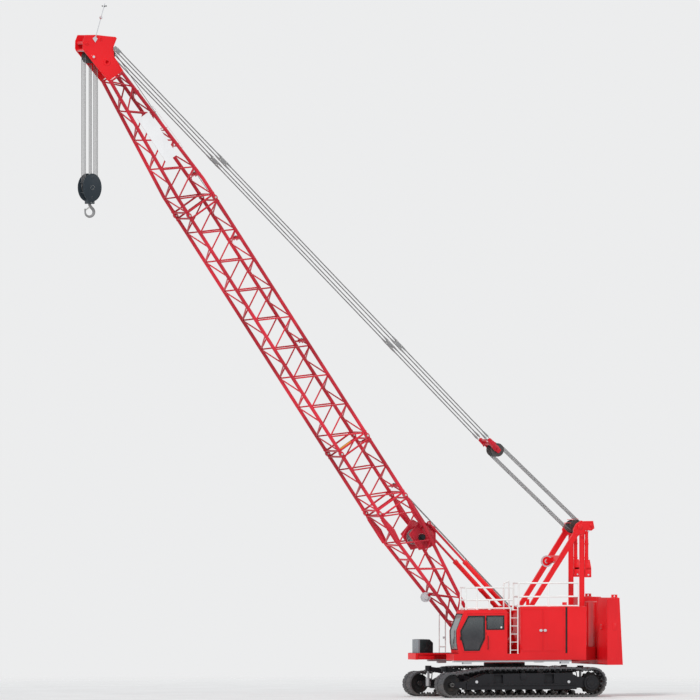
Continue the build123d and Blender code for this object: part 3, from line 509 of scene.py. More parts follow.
FINISHES = (
    Enamel("red_paint", paint("E8161F"), PRIMER, 0.30, Grade.FRESH),
    # Its pale pink chip colour paints highlights on the edges, as well as wear.
    Enamel("lattice_red", paint("CB1E33"), (0.62, 0.45, 0.43), 0.28, edge=0.006, fade=0.3),
    Enamel(
        "charcoal_paint", paint("19191D"), (0.12,) * 3, 0.5, Grade.HARD, dust=(0.07, 0.066, 0.062)
    ),
    CastSteel("track_steel", (0.13, 0.13, 0.14), soil=0.25, rusty=0.08),
    CastSteel("running_steel", (0.022, 0.022, 0.025), soil=0.15, rusty=0.08),
    TurnedSteel("machined_steel"),
    Enamel("light_grey_paint", paint("C9CACD"), PRIMER, 0.42),
    Enamel("counterweight_paint", paint("DE161F"), PRIMER, 0.36),
    Enamel("white_paint", paint("EDEEEC"), PRIMER, 0.30),
    LaidRope("rope_steel"),
    Enamel("link_steel", paint("C9172B"), PRIMER, 0.35),
    Glazing("cab_glazing"),
    Moulded("interior_dark", (0.03, 0.03, 0.033), 0.55),
    Enamel("engine_paint", paint("808488"), PRIMER, 0.45, Grade.HARD),
    Enamel("panel_white", paint("EDEDEE"), (0.5, 0.5, 0.5), 0.32, Grade.FRESH),
    Enamel("block_paint", paint("2B343B"), (0.35, 0.34, 0.33), 0.42, Grade.HARD),
    CastSteel("hook_steel", (0.36, 0.36, 0.365), rusty=0.1, metal=0.3),
    CastSteel("sheave_steel", (0.10, 0.095, 0.095), rusty=0.2, roughness=0.5),
    Enamel("cabinet_grey", paint("888C91"), PRIMER, 0.40),
    Moulded("black_rubber", (0.018, 0.018, 0.019), 0.65),
    Moulded("seat_cloth", (0.035, 0.036, 0.04), 0.85, weave=True),
    Moulded("black_hose", (0.02, 0.02, 0.021), 0.45),
    Enamel("panel_dark", paint("1F2628"), PRIMER, 0.45),
    Enamel("safety_yellow", paint("E8B923"), PRIMER, 0.4),
    Lamp("clear_lens", (0.75, 0.77, 0.8)),
    Lamp("red_lens", (0.6, 0.02, 0.02)),
    TurnedSteel("plated_steel", (0.62, 0.61, 0.58), 0.34),
)


# ------------------------------------------------------------------------- modelling tools
def toward(start: Point, end: Point) -> Matrix:
    """Frame at the middle of a run whose own Z points from start to end.

    Args:
        start: One end of the run.
        end: The other end.
    Returns:
        The frame as a matrix.
    """
    low, high = Vector(start), Vector(end)
    turn = (high - low).to_track_quat("Z", "Y").to_matrix().to_4x4()
    return Matrix.Translation((low + high) / 2) @ turn


def across(place: Flat, y: float = 0.0) -> Point:
    """A place seen from the side, at a distance across the crane."""
    return (place[0], y, place[1])


def oval(centre: Flat, wide: float, tall: float, corners: int) -> list[Flat]:
    """Corners of an oval from its centre and half sizes."""
    turns = [2 * math.pi * k / corners for k in range(corners)]
    return [(centre[0] + wide * math.cos(a), centre[1] + tall * math.sin(a)) for a in turns]


def washer(inner: float, outer: float, low: float, high: float) -> list[Flat]:
    """Profile of a flat ring or a sleeve, for turning."""
    return [(inner, low), (outer, low), (outer, high), (inner, high)]


class Form:
    """A mesh under construction: several closed shapes in one piece."""

    def __init__(self) -> None:
        """Start with nothing."""
        self.bm = bmesh.new()

    def take(self, part: bmesh.types.BMesh, frame: Matrix | None = None) -> None:
        """Move a finished shape into this mesh."""
        if frame is not None:
            bmesh.ops.transform(part, matrix=frame, verts=part.verts)
        held = bpy.data.meshes.new("held")
        part.to_mesh(held)
        part.free()
        self.bm.from_mesh(held)
        bpy.data.meshes.remove(held)

    def bar(
        self, start: Point, end: Point, radius: float, sides: int = 12, tip: float | None = None
    ) -> None:
        """A round bar between two points, or a cone where a tip radius is given."""
        bmesh.ops.create_cone(
            self.bm,
            cap_ends=True,
            segments=sides,
            radius1=radius,
            radius2=radius if tip is None else tip,
            depth=(Vector(end) - Vector(start)).length,
            matrix=toward(start, end),
        )

    def disc(
        self, x: float, z: float, radius: float, y0: float, y1: float, sides: int = 24
    ) -> None:
        """A round disc or shaft whose axis runs across the crane."""
        self.bar((x, y0, z), (x, y1, z), radius, sides)

    def rod(self, place: Flat, y0: float, y1: float, radius: float, sides: int = 12) -> None:
        """A round bar across the boom at a place (s, t) on it."""
        s, t = place
        self.bar(on_boom(s, y0, t), on_boom(s, y1, t), radius, sides)

    def ball(self, centre: Point, radius: float, detail: int = 2) -> None:
        """A ball."""
        frame = Matrix.Translation(centre)
        bmesh.ops.create_icosphere(self.bm, subdivisions=detail, radius=radius, matrix=frame)

    def block(
        self, low: Point, high: Point, round_by: float = 0.0, frame: Matrix | None = None
    ) -> None:
        """A box between two corners, its edges rounded, moved by a frame where one is given."""
        part = bmesh.new()
        size = [abs(b - a) for a, b in zip(low, high)]
        middle = Vector([(a + b) / 2 for a, b in zip(low, high)])
        sized = Matrix.Translation(middle) @ Matrix.Diagonal((*size, 1.0))
        bmesh.ops.create_cube(part, size=1.0, matrix=sized)
        self._round(part, round_by)
        self.take(part, frame)

    def _round(self, part: bmesh.types.BMesh, round_by: float) -> None:
        """Bevel the edges of a shape."""
        if round_by > 0:
            bmesh.ops.bevel(
                part,
                geom=part.edges[:],
                offset=round_by,
                offset_type="OFFSET",
                affect="EDGES",
                segments=2,
                profile=0.5,
                material=-1,
                clamp_overlap=True,
            )

    def plate(
        self,
        outline: Sequence[Flat],
        low: float,
        high: float,
        axis: str = "Y",
        round_by: float = 0.0,
        frame: Matrix | None = None,
        rim: float = 0.0,
    ) -> None:
        """A plate from its outline, or a frame of even width along the inside of the outline.

        Args:
            outline: Corners in the plate's own plane.
            low: Place of one face on the axis.
            high: Place of the other face.
            axis: The axis that the plate is thick along; for Y the outline is in X and Z,
                for X in Y and Z, for Z in X and Y.
            round_by: Bevel of its edges.
            frame: Where the finished plate goes.
            rim: Width of the frame, or nought for a whole plate.
        """
        part = bmesh.new()
        spots = {
            "Y": lambda a, b: (a, low, b),
            "X": lambda a, b: (low, a, b),
            "Z": lambda a, b: (a, b, low),
        }[axis]
        face = part.faces.new([part.verts.new(spots(a, b)) for a, b in outline])
        if rim > 0:
            face.normal_update()
            bmesh.ops.inset_region(
                part, faces=[face], thickness=rim, use_even_offset=True, use_boundary=True
            )
            bmesh.ops.delete(part, geom=[face], context="FACES")
        move = Vector([high - low if name == axis else 0.0 for name in "XYZ"])
        grown = bmesh.ops.extrude_face_region(part, geom=part.faces[:])
        moved = [item for item in grown["geom"] if isinstance(item, bmesh.types.BMVert)]
        bmesh.ops.translate(part, vec=move, verts=moved)
        bmesh.ops.recalc_face_normals(part, faces=part.faces)
        self._round(part, round_by)
        self.take(part, frame)

    def turned(self, profile: Sequence[Flat], start: Point, way: Point, sides: int) -> None:
        """A turned shape from its profile of (radius, distance from start) pairs.

        Args:
            profile: Points of the profile, closed on the axis or on itself.
            start: Point on the axis that distances count from.
            way: The axis's direction.
            sides: Steps of the turn.
        """
        part = bmesh.new()
        verts = [part.verts.new((radius, 0.0, height)) for radius, height in profile]
        hollow = profile[0][0] > 1e-6 and profile[-1][0] > 1e-6
        ring = list(zip(verts, verts[1:])) + ([(verts[-1], verts[0])] if hollow else [])
        edges = [part.edges.new(pair) for pair in ring]
        bmesh.ops.spin(
            part,
            geom=verts + edges,
            cent=(0.0, 0.0, 0.0),
            axis=UP,
            dvec=(0.0, 0.0, 0.0),
            angle=2 * math.pi,
            steps=sides,
            use_merge=True,
            use_duplicate=False,
        )
        bmesh.ops.remove_doubles(part, verts=part.verts, dist=1e-5)
        bmesh.ops.recalc_face_normals(part, faces=part.faces)
        turn = Vector(way).to_track_quat("Z", "Y").to_matrix().to_4x4()
        self.take(part, Matrix.Translation(start) @ turn)

    def ring(
        self, centre: Point, axis: Point, radius: float, thick: float, sides: int = 24
    ) -> None:
        """A ring of round section."""
        self.turned(oval((radius, 0.0), thick, thick, 6), centre, axis, sides)

    def bolts(self, centre: Point, axis: Point, radius: float, count: int, head: float) -> None:
        """A circle of hexagon bolt heads that stand out along the axis."""
        way = Vector(axis).normalized()
        side = way.orthogonal().normalized()
        for i in range(count):
            spoke = Matrix.Rotation(2 * math.pi * i / count, 3, way) @ side * radius
            foot = Vector(centre) + spoke
            self.bar(tuple(foot), tuple(foot + way * head * 0.7), head, 6)

    def blocks(self, rows: Iterable[Sequence[float]]) -> None:
        """Boxes from rows of low X, Y, Z, high X, Y, Z and the rounding of the edges."""
        for row in rows:
            self.block(tuple(row[:3]), tuple(row[3:6]), row[6])

    def run(
        self, points: Sequence[Point], radius: float, sides: int = 10, bend: float = 0.0
    ) -> None:
        """A tube along points, its corners rounded by a bend or closed with a ball."""
        if bend > 0:
            soft = [Vector(points[0])]
            for before, corner, after in zip(points, points[1:], points[2:]):
                mid = Vector(corner)
                ends = [mid + (Vector(p) - mid).normalized() * bend for p in (before, after)]
                for k in range(5):
                    u = k / 4
                    soft.append(ends[0] * (1 - u) ** 2 + mid * 2 * u * (1 - u) + ends[1] * u * u)
            points = [tuple(p) for p in soft + [Vector(points[-1])]]
        for start, end in zip(points, points[1:]):
            self.bar(start, end, radius, sides)
        for joint in points[1:-1]:
            self.ball(joint, radius, 2)

    def piece(
        self, name: str, finish: str, body: str, smooth: float = 35.0, copies: Sequence[Matrix] = ()
    ) -> bpy.types.Object:
        """Turn the mesh into a piece that rides on a body.

        Args:
            name: The piece's name.
            finish: The finish that it takes.
            body: The body that carries it.
            smooth: Edges flatter than this many degrees are smoothed.
            copies: Frames at which the whole mesh is repeated.
        Returns:
            The piece.
        """
        mesh = bpy.data.meshes.new(name)
        self.bm.to_mesh(mesh)
        self.bm.free()
        if copies:
            many = bmesh.new()
            for place in copies:
                first = len(many.verts)
                many.from_mesh(mesh)
                many.verts.ensure_lookup_table()
                fresh = many.verts[first:]
                bmesh.ops.transform(many, matrix=place, verts=fresh)
                if place.determinant() < 0:
                    turned = list({face for vert in fresh for face in vert.link_faces})
                    bmesh.ops.reverse_faces(many, faces=turned)
            many.to_mesh(mesh)
            many.free()
        mesh.polygons.foreach_set("use_smooth", [True] * len(mesh.polygons))
        mesh.set_sharp_from_angle(angle=math.radians(smooth))
        return settle(bpy.data.objects.new(name, mesh), finish, body)


ROPE_SIDES = 10
ROPE_SMOOTH = 50.0
THICK_ROPE = 0.0145
THIN_ROPE = 0.0135
PAIR = (Matrix(), Matrix.Scale(-1.0, 4, (0.0, 1.0, 0.0)))
MATERIALS: dict[str, bpy.types.Material] = {}
PLACED: list[str] = []


def settle(piece: bpy.types.Object, finish: str, body: str) -> bpy.types.Object:
    """Link a piece, give it its finish and let it ride.

    Args:
        piece: The new object, its place in its mesh.
        finish: The finish's name.
        body: The body that carries it, or nothing for a piece that runs between bodies.
    Returns:
        The piece.
    """
    bpy.context.scene.collection.objects.link(piece)
    piece.data.materials.clear()
    piece.data.materials.append(MATERIALS[finish])
    if body:
        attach(piece, body)
    PLACED.append(piece.name)
    return piece


def rope(
    name: str, routes: Iterable[Sequence[Point]], radius: float, body: str
) -> bpy.types.Object:
    """One or more straight-run ropes with a map that winds with the strands.

    Args:
        name: The piece's name.
        routes: Corner points of each rope.
        radius: The rope's radius.
        body: The body that carries it, or nothing where it runs between bodies.
    Returns:
        The piece.
    """
    bm = bmesh.new()
    lay = bm.loops.layers.uv.new("lay")
    for route in routes:
        travelled = 0.0
        for start, end in zip(route, route[1:]):
            length = (Vector(end) - Vector(start)).length
            turn = toward(start, end)
            made = bmesh.ops.create_cone(
                bm,
                cap_ends=True,
                segments=ROPE_SIDES,
                radius1=radius,
                radius2=radius,
                depth=length,
                matrix=turn,
            )
            back = turn.inverted()
            faces = {face for vert in made["verts"] for face in vert.link_faces}
            for face in faces:
                middle = back @ face.calc_center_median()
                base = math.atan2(middle.y, middle.x)
                for loop in face.loops:
                    local = back @ loop.vert.co
                    swing = math.atan2(local.y, local.x) - base
                    swing = (swing + math.pi) % (2 * math.pi) - math.pi
                    around = (base + swing) / (2 * math.pi)
                    loop[lay].uv = (around, travelled + local.z + length / 2)
            travelled += length
    mesh = bpy.data.meshes.new(name)
    bm.to_mesh(mesh)
    bm.free()
    mesh.polygons.foreach_set("use_smooth", [True] * len(mesh.polygons))
    mesh.set_sharp_from_angle(angle=math.radians(ROPE_SMOOTH))
    return settle(bpy.data.objects.new(name, mesh), "rope_steel", body)


BOOM_FOOT = (1.077, 1.95)
BOOM_TILT = math.radians(55.86)
BOOM_FRAME = Matrix.Translation(across(BOOM_FOOT)) @ Matrix.Rotation(-BOOM_TILT, 4, "Y")
BOOM_WAY = BOOM_FRAME.to_3x3() @ Vector((1.0, 0.0, 0.0))


def on_boom(s: float, y: float, t: float) -> Point:
    """A place on the boom as a place in the crane's frame."""
    return tuple(BOOM_FRAME @ Vector((s, y, t)))


def wound(
    name: str, centres: Sequence[Point], axis: Point, radius: float, thick: float, body: str
) -> bpy.types.Object:
    """Turns of rope side by side on a drum.

    Args:
        name: The piece's name.
        centres: Centre of each turn.
        axis: The drum's axis.
        radius: From the axis to the rope's middle.
        thick: The rope's radius.
        body: The body that carries it.
    Returns:
        The piece.
    """
    form = Form()
    for centre in centres:
        form.ring(centre, axis, radius, thick, 36)
    lay = form.bm.loops.layers.uv.new("lay")
    way = Vector(axis).normalized()
    middle = Vector(centres[0])
    side = way.orthogonal().normalized()
    for face in form.bm.faces:
        spoke = face.calc_center_median() - middle
        start = math.atan2(spoke.dot(way.cross(side)), spoke.dot(side))
        for loop in face.loops:
            arm = loop.vert.co - middle
            turn = math.atan2(arm.dot(way.cross(side)), arm.dot(side)) - start
            turn = (turn + math.pi) % (2 * math.pi) - math.pi + start
            flat = arm - way * arm.dot(way)
            around = math.atan2((arm.dot(way) % (2 * thick)) - thick, flat.length - radius)
            loop[lay].uv = (around / (2 * math.pi), turn * radius)
    return form.piece(name, "rope_steel", body, 60)


# ------------------------------------------------------------------------- undercarriage
@dataclass(frozen=True)
class Crawler:
    """One track: shoes round the belt, roller caps, drive bolts and frame fittings."""

    side: int
    gauge: float = 3.97
    shoe_width: float = 0.9
    shoes: int = 66
    gap: float = 0.1
    idler: Flat = (3.225, 0.545)
    drive: Flat = (-3.16, 0.61)
    top: float = 1.29
    top_from: float = 1.75
    top_to: float = -2.35
    lug: float = 0.034
    flank: float = 0.33
    rollers: int = 11
    roller: Flat = (-2.33, 0.212)
    roller_step: float = 0.466
    carriers: tuple[float, ...] = (-1.62, -0.05, 1.42)
    carrier_z: float = 1.085
    pockets: tuple[float, ...] = (1.12, -1.2)
    gussets: tuple[float, ...] = (-2.2, -1.55, -0.62, 0.0, 0.62, 1.55, 2.3)
    pins: tuple[Flat, ...] = ((2.11, 0.67), (-2.09, 0.65))

    @property
    def middle(self) -> float:
        """Where the track's centre line lies across the crane."""
        return self.side * self.gauge / 2

    @property
    def label(self) -> str:
        """Which side this track is on."""
        return "left" if self.side > 0 else "right"

    def arc(self, x: float, z: float, first: int, last: int) -> list[Flat]:
        """Part of the belt's run round a wheel that stands on the ground, in degrees."""
        turns = [math.radians(angle) for angle in range(first, last + 1, 6)]
        return [(x + z * math.cos(turn), z + z * math.sin(turn)) for turn in turns]

    def belt(self) -> list[Flat]:
        """The belt's outer run, seen from the side."""
        x, z = self.drive
        path = [(x, 0.0), *self.arc(*self.idler, -90, 108)]
        path += [(self.top_from, self.top), (self.top_to, self.top)]
        return path + self.arc(x, z + 0.03, 62, 178) + self.arc(x, z, 186, 266)

    def stations(self) -> list[Matrix]:
        """Frame of each shoe: X along the belt, Z outward."""
        path = self.belt()
        closed = path + path[:1]
        lengths = [math.dist(a, b) for a, b in zip(closed, closed[1:])]
        pitch = sum(lengths) / self.shoes
        frames = []
        for number in range(self.shoes):
            ends = []
            for place in (number + 0.02, number + 1.02 - self.gap):
                left = place * pitch % sum(lengths)
                for (x0, z0), (x1, z1), run in zip(closed, closed[1:], lengths):
                    if left <= run and run > 0:
                        break
                    left -= run
                ends.append(Vector((x0 + (x1 - x0) * left / run, 0, z0 + (z1 - z0) * left / run)))
            along = (ends[1] - ends[0]).normalized()
            outward = Vector((along.z, 0.0, -along.x))
            axes = Matrix((along, (0, 1, 0), outward)).transposed()
            if axes.determinant() < 0:
                axes = Matrix((along, (0, -1, 0), outward)).transposed()
            middle = (ends[0] + ends[1]) / 2 + Vector((0.0, self.middle, 0.0))
            frames.append(Matrix.Translation(middle) @ axes.to_4x4())
        return frames

    def shoe(self) -> Form:
        """One cast shoe: plate, two pads, drive lugs and the hinge knuckles."""
        form = Form()
        half, lug = self.shoe_width / 2, self.lug
        form.block((-0.118, -half + 0.004, -0.082), (0.112, half - 0.004, -lug))
        pad = [(-0.104, -lug - 0.004), (0.094, -lug - 0.004), (0.078, -0.001), (-0.088, -0.001)]
        for low, high in ((-half, -0.115), (0.115, half)):
            form.plate(pad, low, high)
        rib = [(-0.05, -lug - 0.004), (0.05, -lug - 0.004), (0.03, -0.012), (-0.03, -0.012)]
        form.plate(rib, -0.105, 0.105)
        guide = [(-0.06, -0.08), (0.06, -0.08), (0.028, -0.165), (-0.028, -0.165)]
        for y in (-0.16, 0.12):
            form.plate(guide, y, y + 0.04)
        for x, low, high in (
            (-0.122, -0.43, -0.2), (-0.122, 0.06, 0.3), (0.118, -0.19, 0.05), (0.118, 0.31, 0.43)
        ):
            form.bar((x, low, -0.078), (x, high, -0.078), 0.03, 8)
        form.bar((-0.122, -half, -0.078), (-0.122, half, -0.078), 0.016, 6)
        return form

    def running_gear(self) -> None:
        """Caps and bolts of the rollers and the idler."""
        out = (0.0, float(self.side), 0.0)
        caps = Form()
        bolts = Form()
        roller = [(0, 0.035), (0.04, 0.035), (0.058, 0.022), (0.066, 0), (0.066, -0.05), (0, -0.05)]
        idler = [
            (0, 0.13), (0.10, 0.13), (0.125, 0.10), (0.14, 0.01),
            (0.30, 0.005), (0.34, -0.02), (0, -0.02),
        ]
        for number in range(self.rollers):
            place = (self.roller[0] + number * self.roller_step, self.roller[1])
            for way in (-1, 1):
                caps.turned(roller, across(place, self.middle + way * 0.28), (0, way, 0), 14)
            bolts.bolts(across(place, self.middle + self.side * 0.30), out, 0.044, 6, 0.007)
        for way in (-1, 1):
            caps.turned(idler, across(self.idler, self.middle + way * 0.2), (0, way, 0), 28)
        bolts.bolts(across(self.idler, self.middle + self.side * 0.33), out, 0.075, 8, 0.011)
        bolts.piece(f"track_bolts_{self.label}", "plated_steel", "undercarriage")
        caps.piece(f"roller_caps_{self.label}", "running_steel", "undercarriage")

    def drive_gear(self) -> None:
        """Bolts and hub of the drive, and the caps of the frame's pins."""
        out = (0.0, float(self.side), 0.0)
        centre = (self.drive[0] + 0.06, self.drive[1] - 0.01)
        face = self.middle + self.side * 0.43
        drive = Form()
        for back, radius, count in ((0.0, 0.195, 12), (0.04, 0.30, 20), (0.0, 0.075, 6)):
            drive.bolts(across(centre, face - self.side * back), out, radius, count, 0.013)
        hub = [(0, 0.019), (0.06, 0.019), (0.10, 0.008), (0.115, -0.004), (0, -0.004)]
        drive.turned(hub, across(centre, face), out, 24)
        drive.piece(f"drive_bolts_{self.label}", "running_steel", "undercarriage")
        caps = Form()
        cap = [(0, 0.016), (0.052, 0.016), (0.064, 0.006), (0.064, -0.006), (0, -0.006)]
        for place in self.pins:
            caps.turned(cap, across(place, self.middle + self.side * self.flank), out, 18)
        caps.piece(f"pin_caps_{self.label}", "light_grey_paint", "undercarriage")

    def frame_trim(self) -> None:
        """Ribs round the pockets, gussets, tension gear and carrier rollers."""
        outer = self.middle + self.side * self.flank
        trim = Form()
        rib = outer + self.side * 0.014
        for x in self.pockets:
            for x0 in (x - 0.235, x + 0.205):
                trim.block((x0, outer - 0.01, 0.585), (x0 + 0.03, rib, 0.995), 0.004)
            for z0 in (0.575, 0.98):
                trim.block((x - 0.235, outer - 0.01, z0), (x + 0.235, rib, z0 + 0.022), 0.004)
        gusset = [(outer, 0.56), (outer + self.side * 0.036, 0.56), (outer, 0.66)]
        for x in self.gussets:
            trim.plate(gusset, x - 0.008, x + 0.008, "X")
        trim.block((-0.13, outer - 0.02, 0.75), (0.13, outer + self.side * 0.036, 1.03), 0.012)
        trim.piece(f"frame_ribs_{self.label}", "charcoal_paint", "undercarriage")
        carriers = Form()
        z = self.carrier_z
        roller = [
            (0, 0), (0.075, 0), (0.085, 0.01), (0.085, 0.03),
            (0.068, 0.04), (0.068, 0.11), (0, 0.11),
        ]
        for x in self.carriers:
            for y in (self.middle - 0.22, self.middle + 0.10):
                carriers.turned(roller, (x, y, z), ACROSS, 18)
            carriers.disc(x, z, 0.03, self.middle - 0.16, self.middle + 0.16, 10)
            for y in (self.middle - 0.05, self.middle + 0.03):
                carriers.block((x - 0.045, y, z - 0.085), (x + 0.045, y + 0.02, z + 0.03), 0.006)
        ram = [(x, self.middle, self.idler[1]) for x in (2.32, 2.97)]
        carriers.bar(*ram, 0.07, 16)
        carriers.piece(f"carrier_rollers_{self.label}", "running_steel", "undercarriage")

    def build(self) -> None:
        """The whole track."""
        belt = self.shoe().piece(
            f"track_shoes_{self.label}", "track_steel", "undercarriage", 30, self.stations()
        )
        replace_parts(belt, f"track_{self.label}")
        self.running_gear()
        self.drive_gear()
        self.frame_trim()


@dataclass(frozen=True)
class Carbody:
    """Fittings of the centre box: axle joints, ring bolts, swivel lines, jack pads."""

    jack: Flat = (3.1, 1.0)
    reach: float = 1.655
    axle_x: float = 1.25

    def joints(self) -> None:
        """Bolted plates where the axle beams meet the side frames."""
        plates = Form()
        bolts = Form()
        for x in (-self.axle_x, self.axle_x):
            for side in (1, -1):
                y = side * (self.reach - 0.01)
                foot = (x - 0.30, y - side * 0.06, 0.56)
                plates.block(foot, (x + 0.30, y - side * 0.002, 1.02), 0.012)
                for z, dx in product((0.61, 0.97), (-0.25, -0.12, 0.0, 0.12, 0.25)):
                    start = y - side * 0.06
                    bolts.bar((x + dx, start, z), (x + dx, start - side * 0.02, z), 0.017, 6)
            for y in (-0.75, 0.0, 0.75):
                plates.block((x - 0.235, y - 0.012, 0.99), (x + 0.235, y + 0.012, 1.025), 0.004)
        plates.piece("axle_flanges", "charcoal_paint", "undercarriage")
        bolts.bolts((0.0, 0.0, 1.19), (0.0, 0.0, 1.0), 0.915, 36, 0.016)
        bolts.piece("axle_bolts", "plated_steel", "undercarriage")

    def legs(self) -> None:
        """Collars, feet and pipes of the lifting jacks."""
        metal = Form()
        foot = Form()
        hose = Form()
        collar = [(0.058, 0), (0.125, 0), (0.125, 0.03), (0.10, 0.045), (0.058, 0.045)]
        pad = [(0, 0), (0.17, 0), (0.18, 0.012), (0.18, 0.03), (0.10, 0.055), (0, 0.055)]
        route = (
            (0.10, 0.06, 0.60), (0.17, 0.06, 0.72), (0.20, 0.06, 1.02),
            (0.40, 0.10, 1.13), (1.20, 0.10, 0.93),
        )
        for end, side in product((1, -1), (1, -1)):
            x, y = end * self.jack[0], side * self.jack[1]
            metal.turned(collar, (x, y, 0.742), UP, 24)
            foot.turned(pad, (x, y, 0.40), UP, 28)
            for offset in (-0.028, 0.028):
                line = [(x - end * dx, y + side * dy + offset, z) for dx, dy, z in route]
                hose.run(line, 0.012, 8)
        metal.piece("jack_collars", "machined_steel", "undercarriage")
        foot.piece("jack_feet", "charcoal_paint", "undercarriage")
        hose.piece("jack_lines", "black_hose", "undercarriage")

    def swivel(self) -> None:
        """Ring guard with its gussets and the lines that leave the centre joint."""
        form = Form()
        form.turned(washer(0.965, 1.0, 0, 0.035), (0, 0, 1.10), UP, 48)
        for angle in range(0, 360, 30):
            turn = Matrix.Rotation(math.radians(angle), 4, "Z")
            form.plate([(0.955, 1.0), (1.06, 1.0), (0.955, 1.13)], -0.008, 0.008, "Y", 0.0, turn)
        form.piece("ring_gussets", "charcoal_paint", "undercarriage")
        lines = Form()
        route = ((0.96, 1, 1.17), (1.18, 1.3, 1.20), (1.46, 1.7, 1.12), (1.52, 2.6, 0.86))
        for y, way in product((-0.21, -0.07, 0.07, 0.21), (1, -1)):
            lines.run([(way * x, y * spread, z) for x, spread, z in route], 0.017, 8)
        lines.piece("swivel_lines", "black_hose", "undercarriage")

    def build(self) -> None:
        """All of the centre box's fittings."""
        self.joints()
        self.legs()
        self.swivel()


# ------------------------------------------------------------------------- boom
@dataclass(frozen=True)
class BoomSection:
    """One lattice section: where its lacing meets the chords, and what is left open."""

    name: str
    bends: tuple[float, ...]
    first: float
    last: float
    bays: int
    open_face: tuple[int, float, float] | None = None
    open_end: bool = False

    def stations(self) -> list[float]:
        """Where the lacing meets the chords."""
        return [self.first + (self.last - self.first) * i / self.bays for i in range(self.bays + 1)]


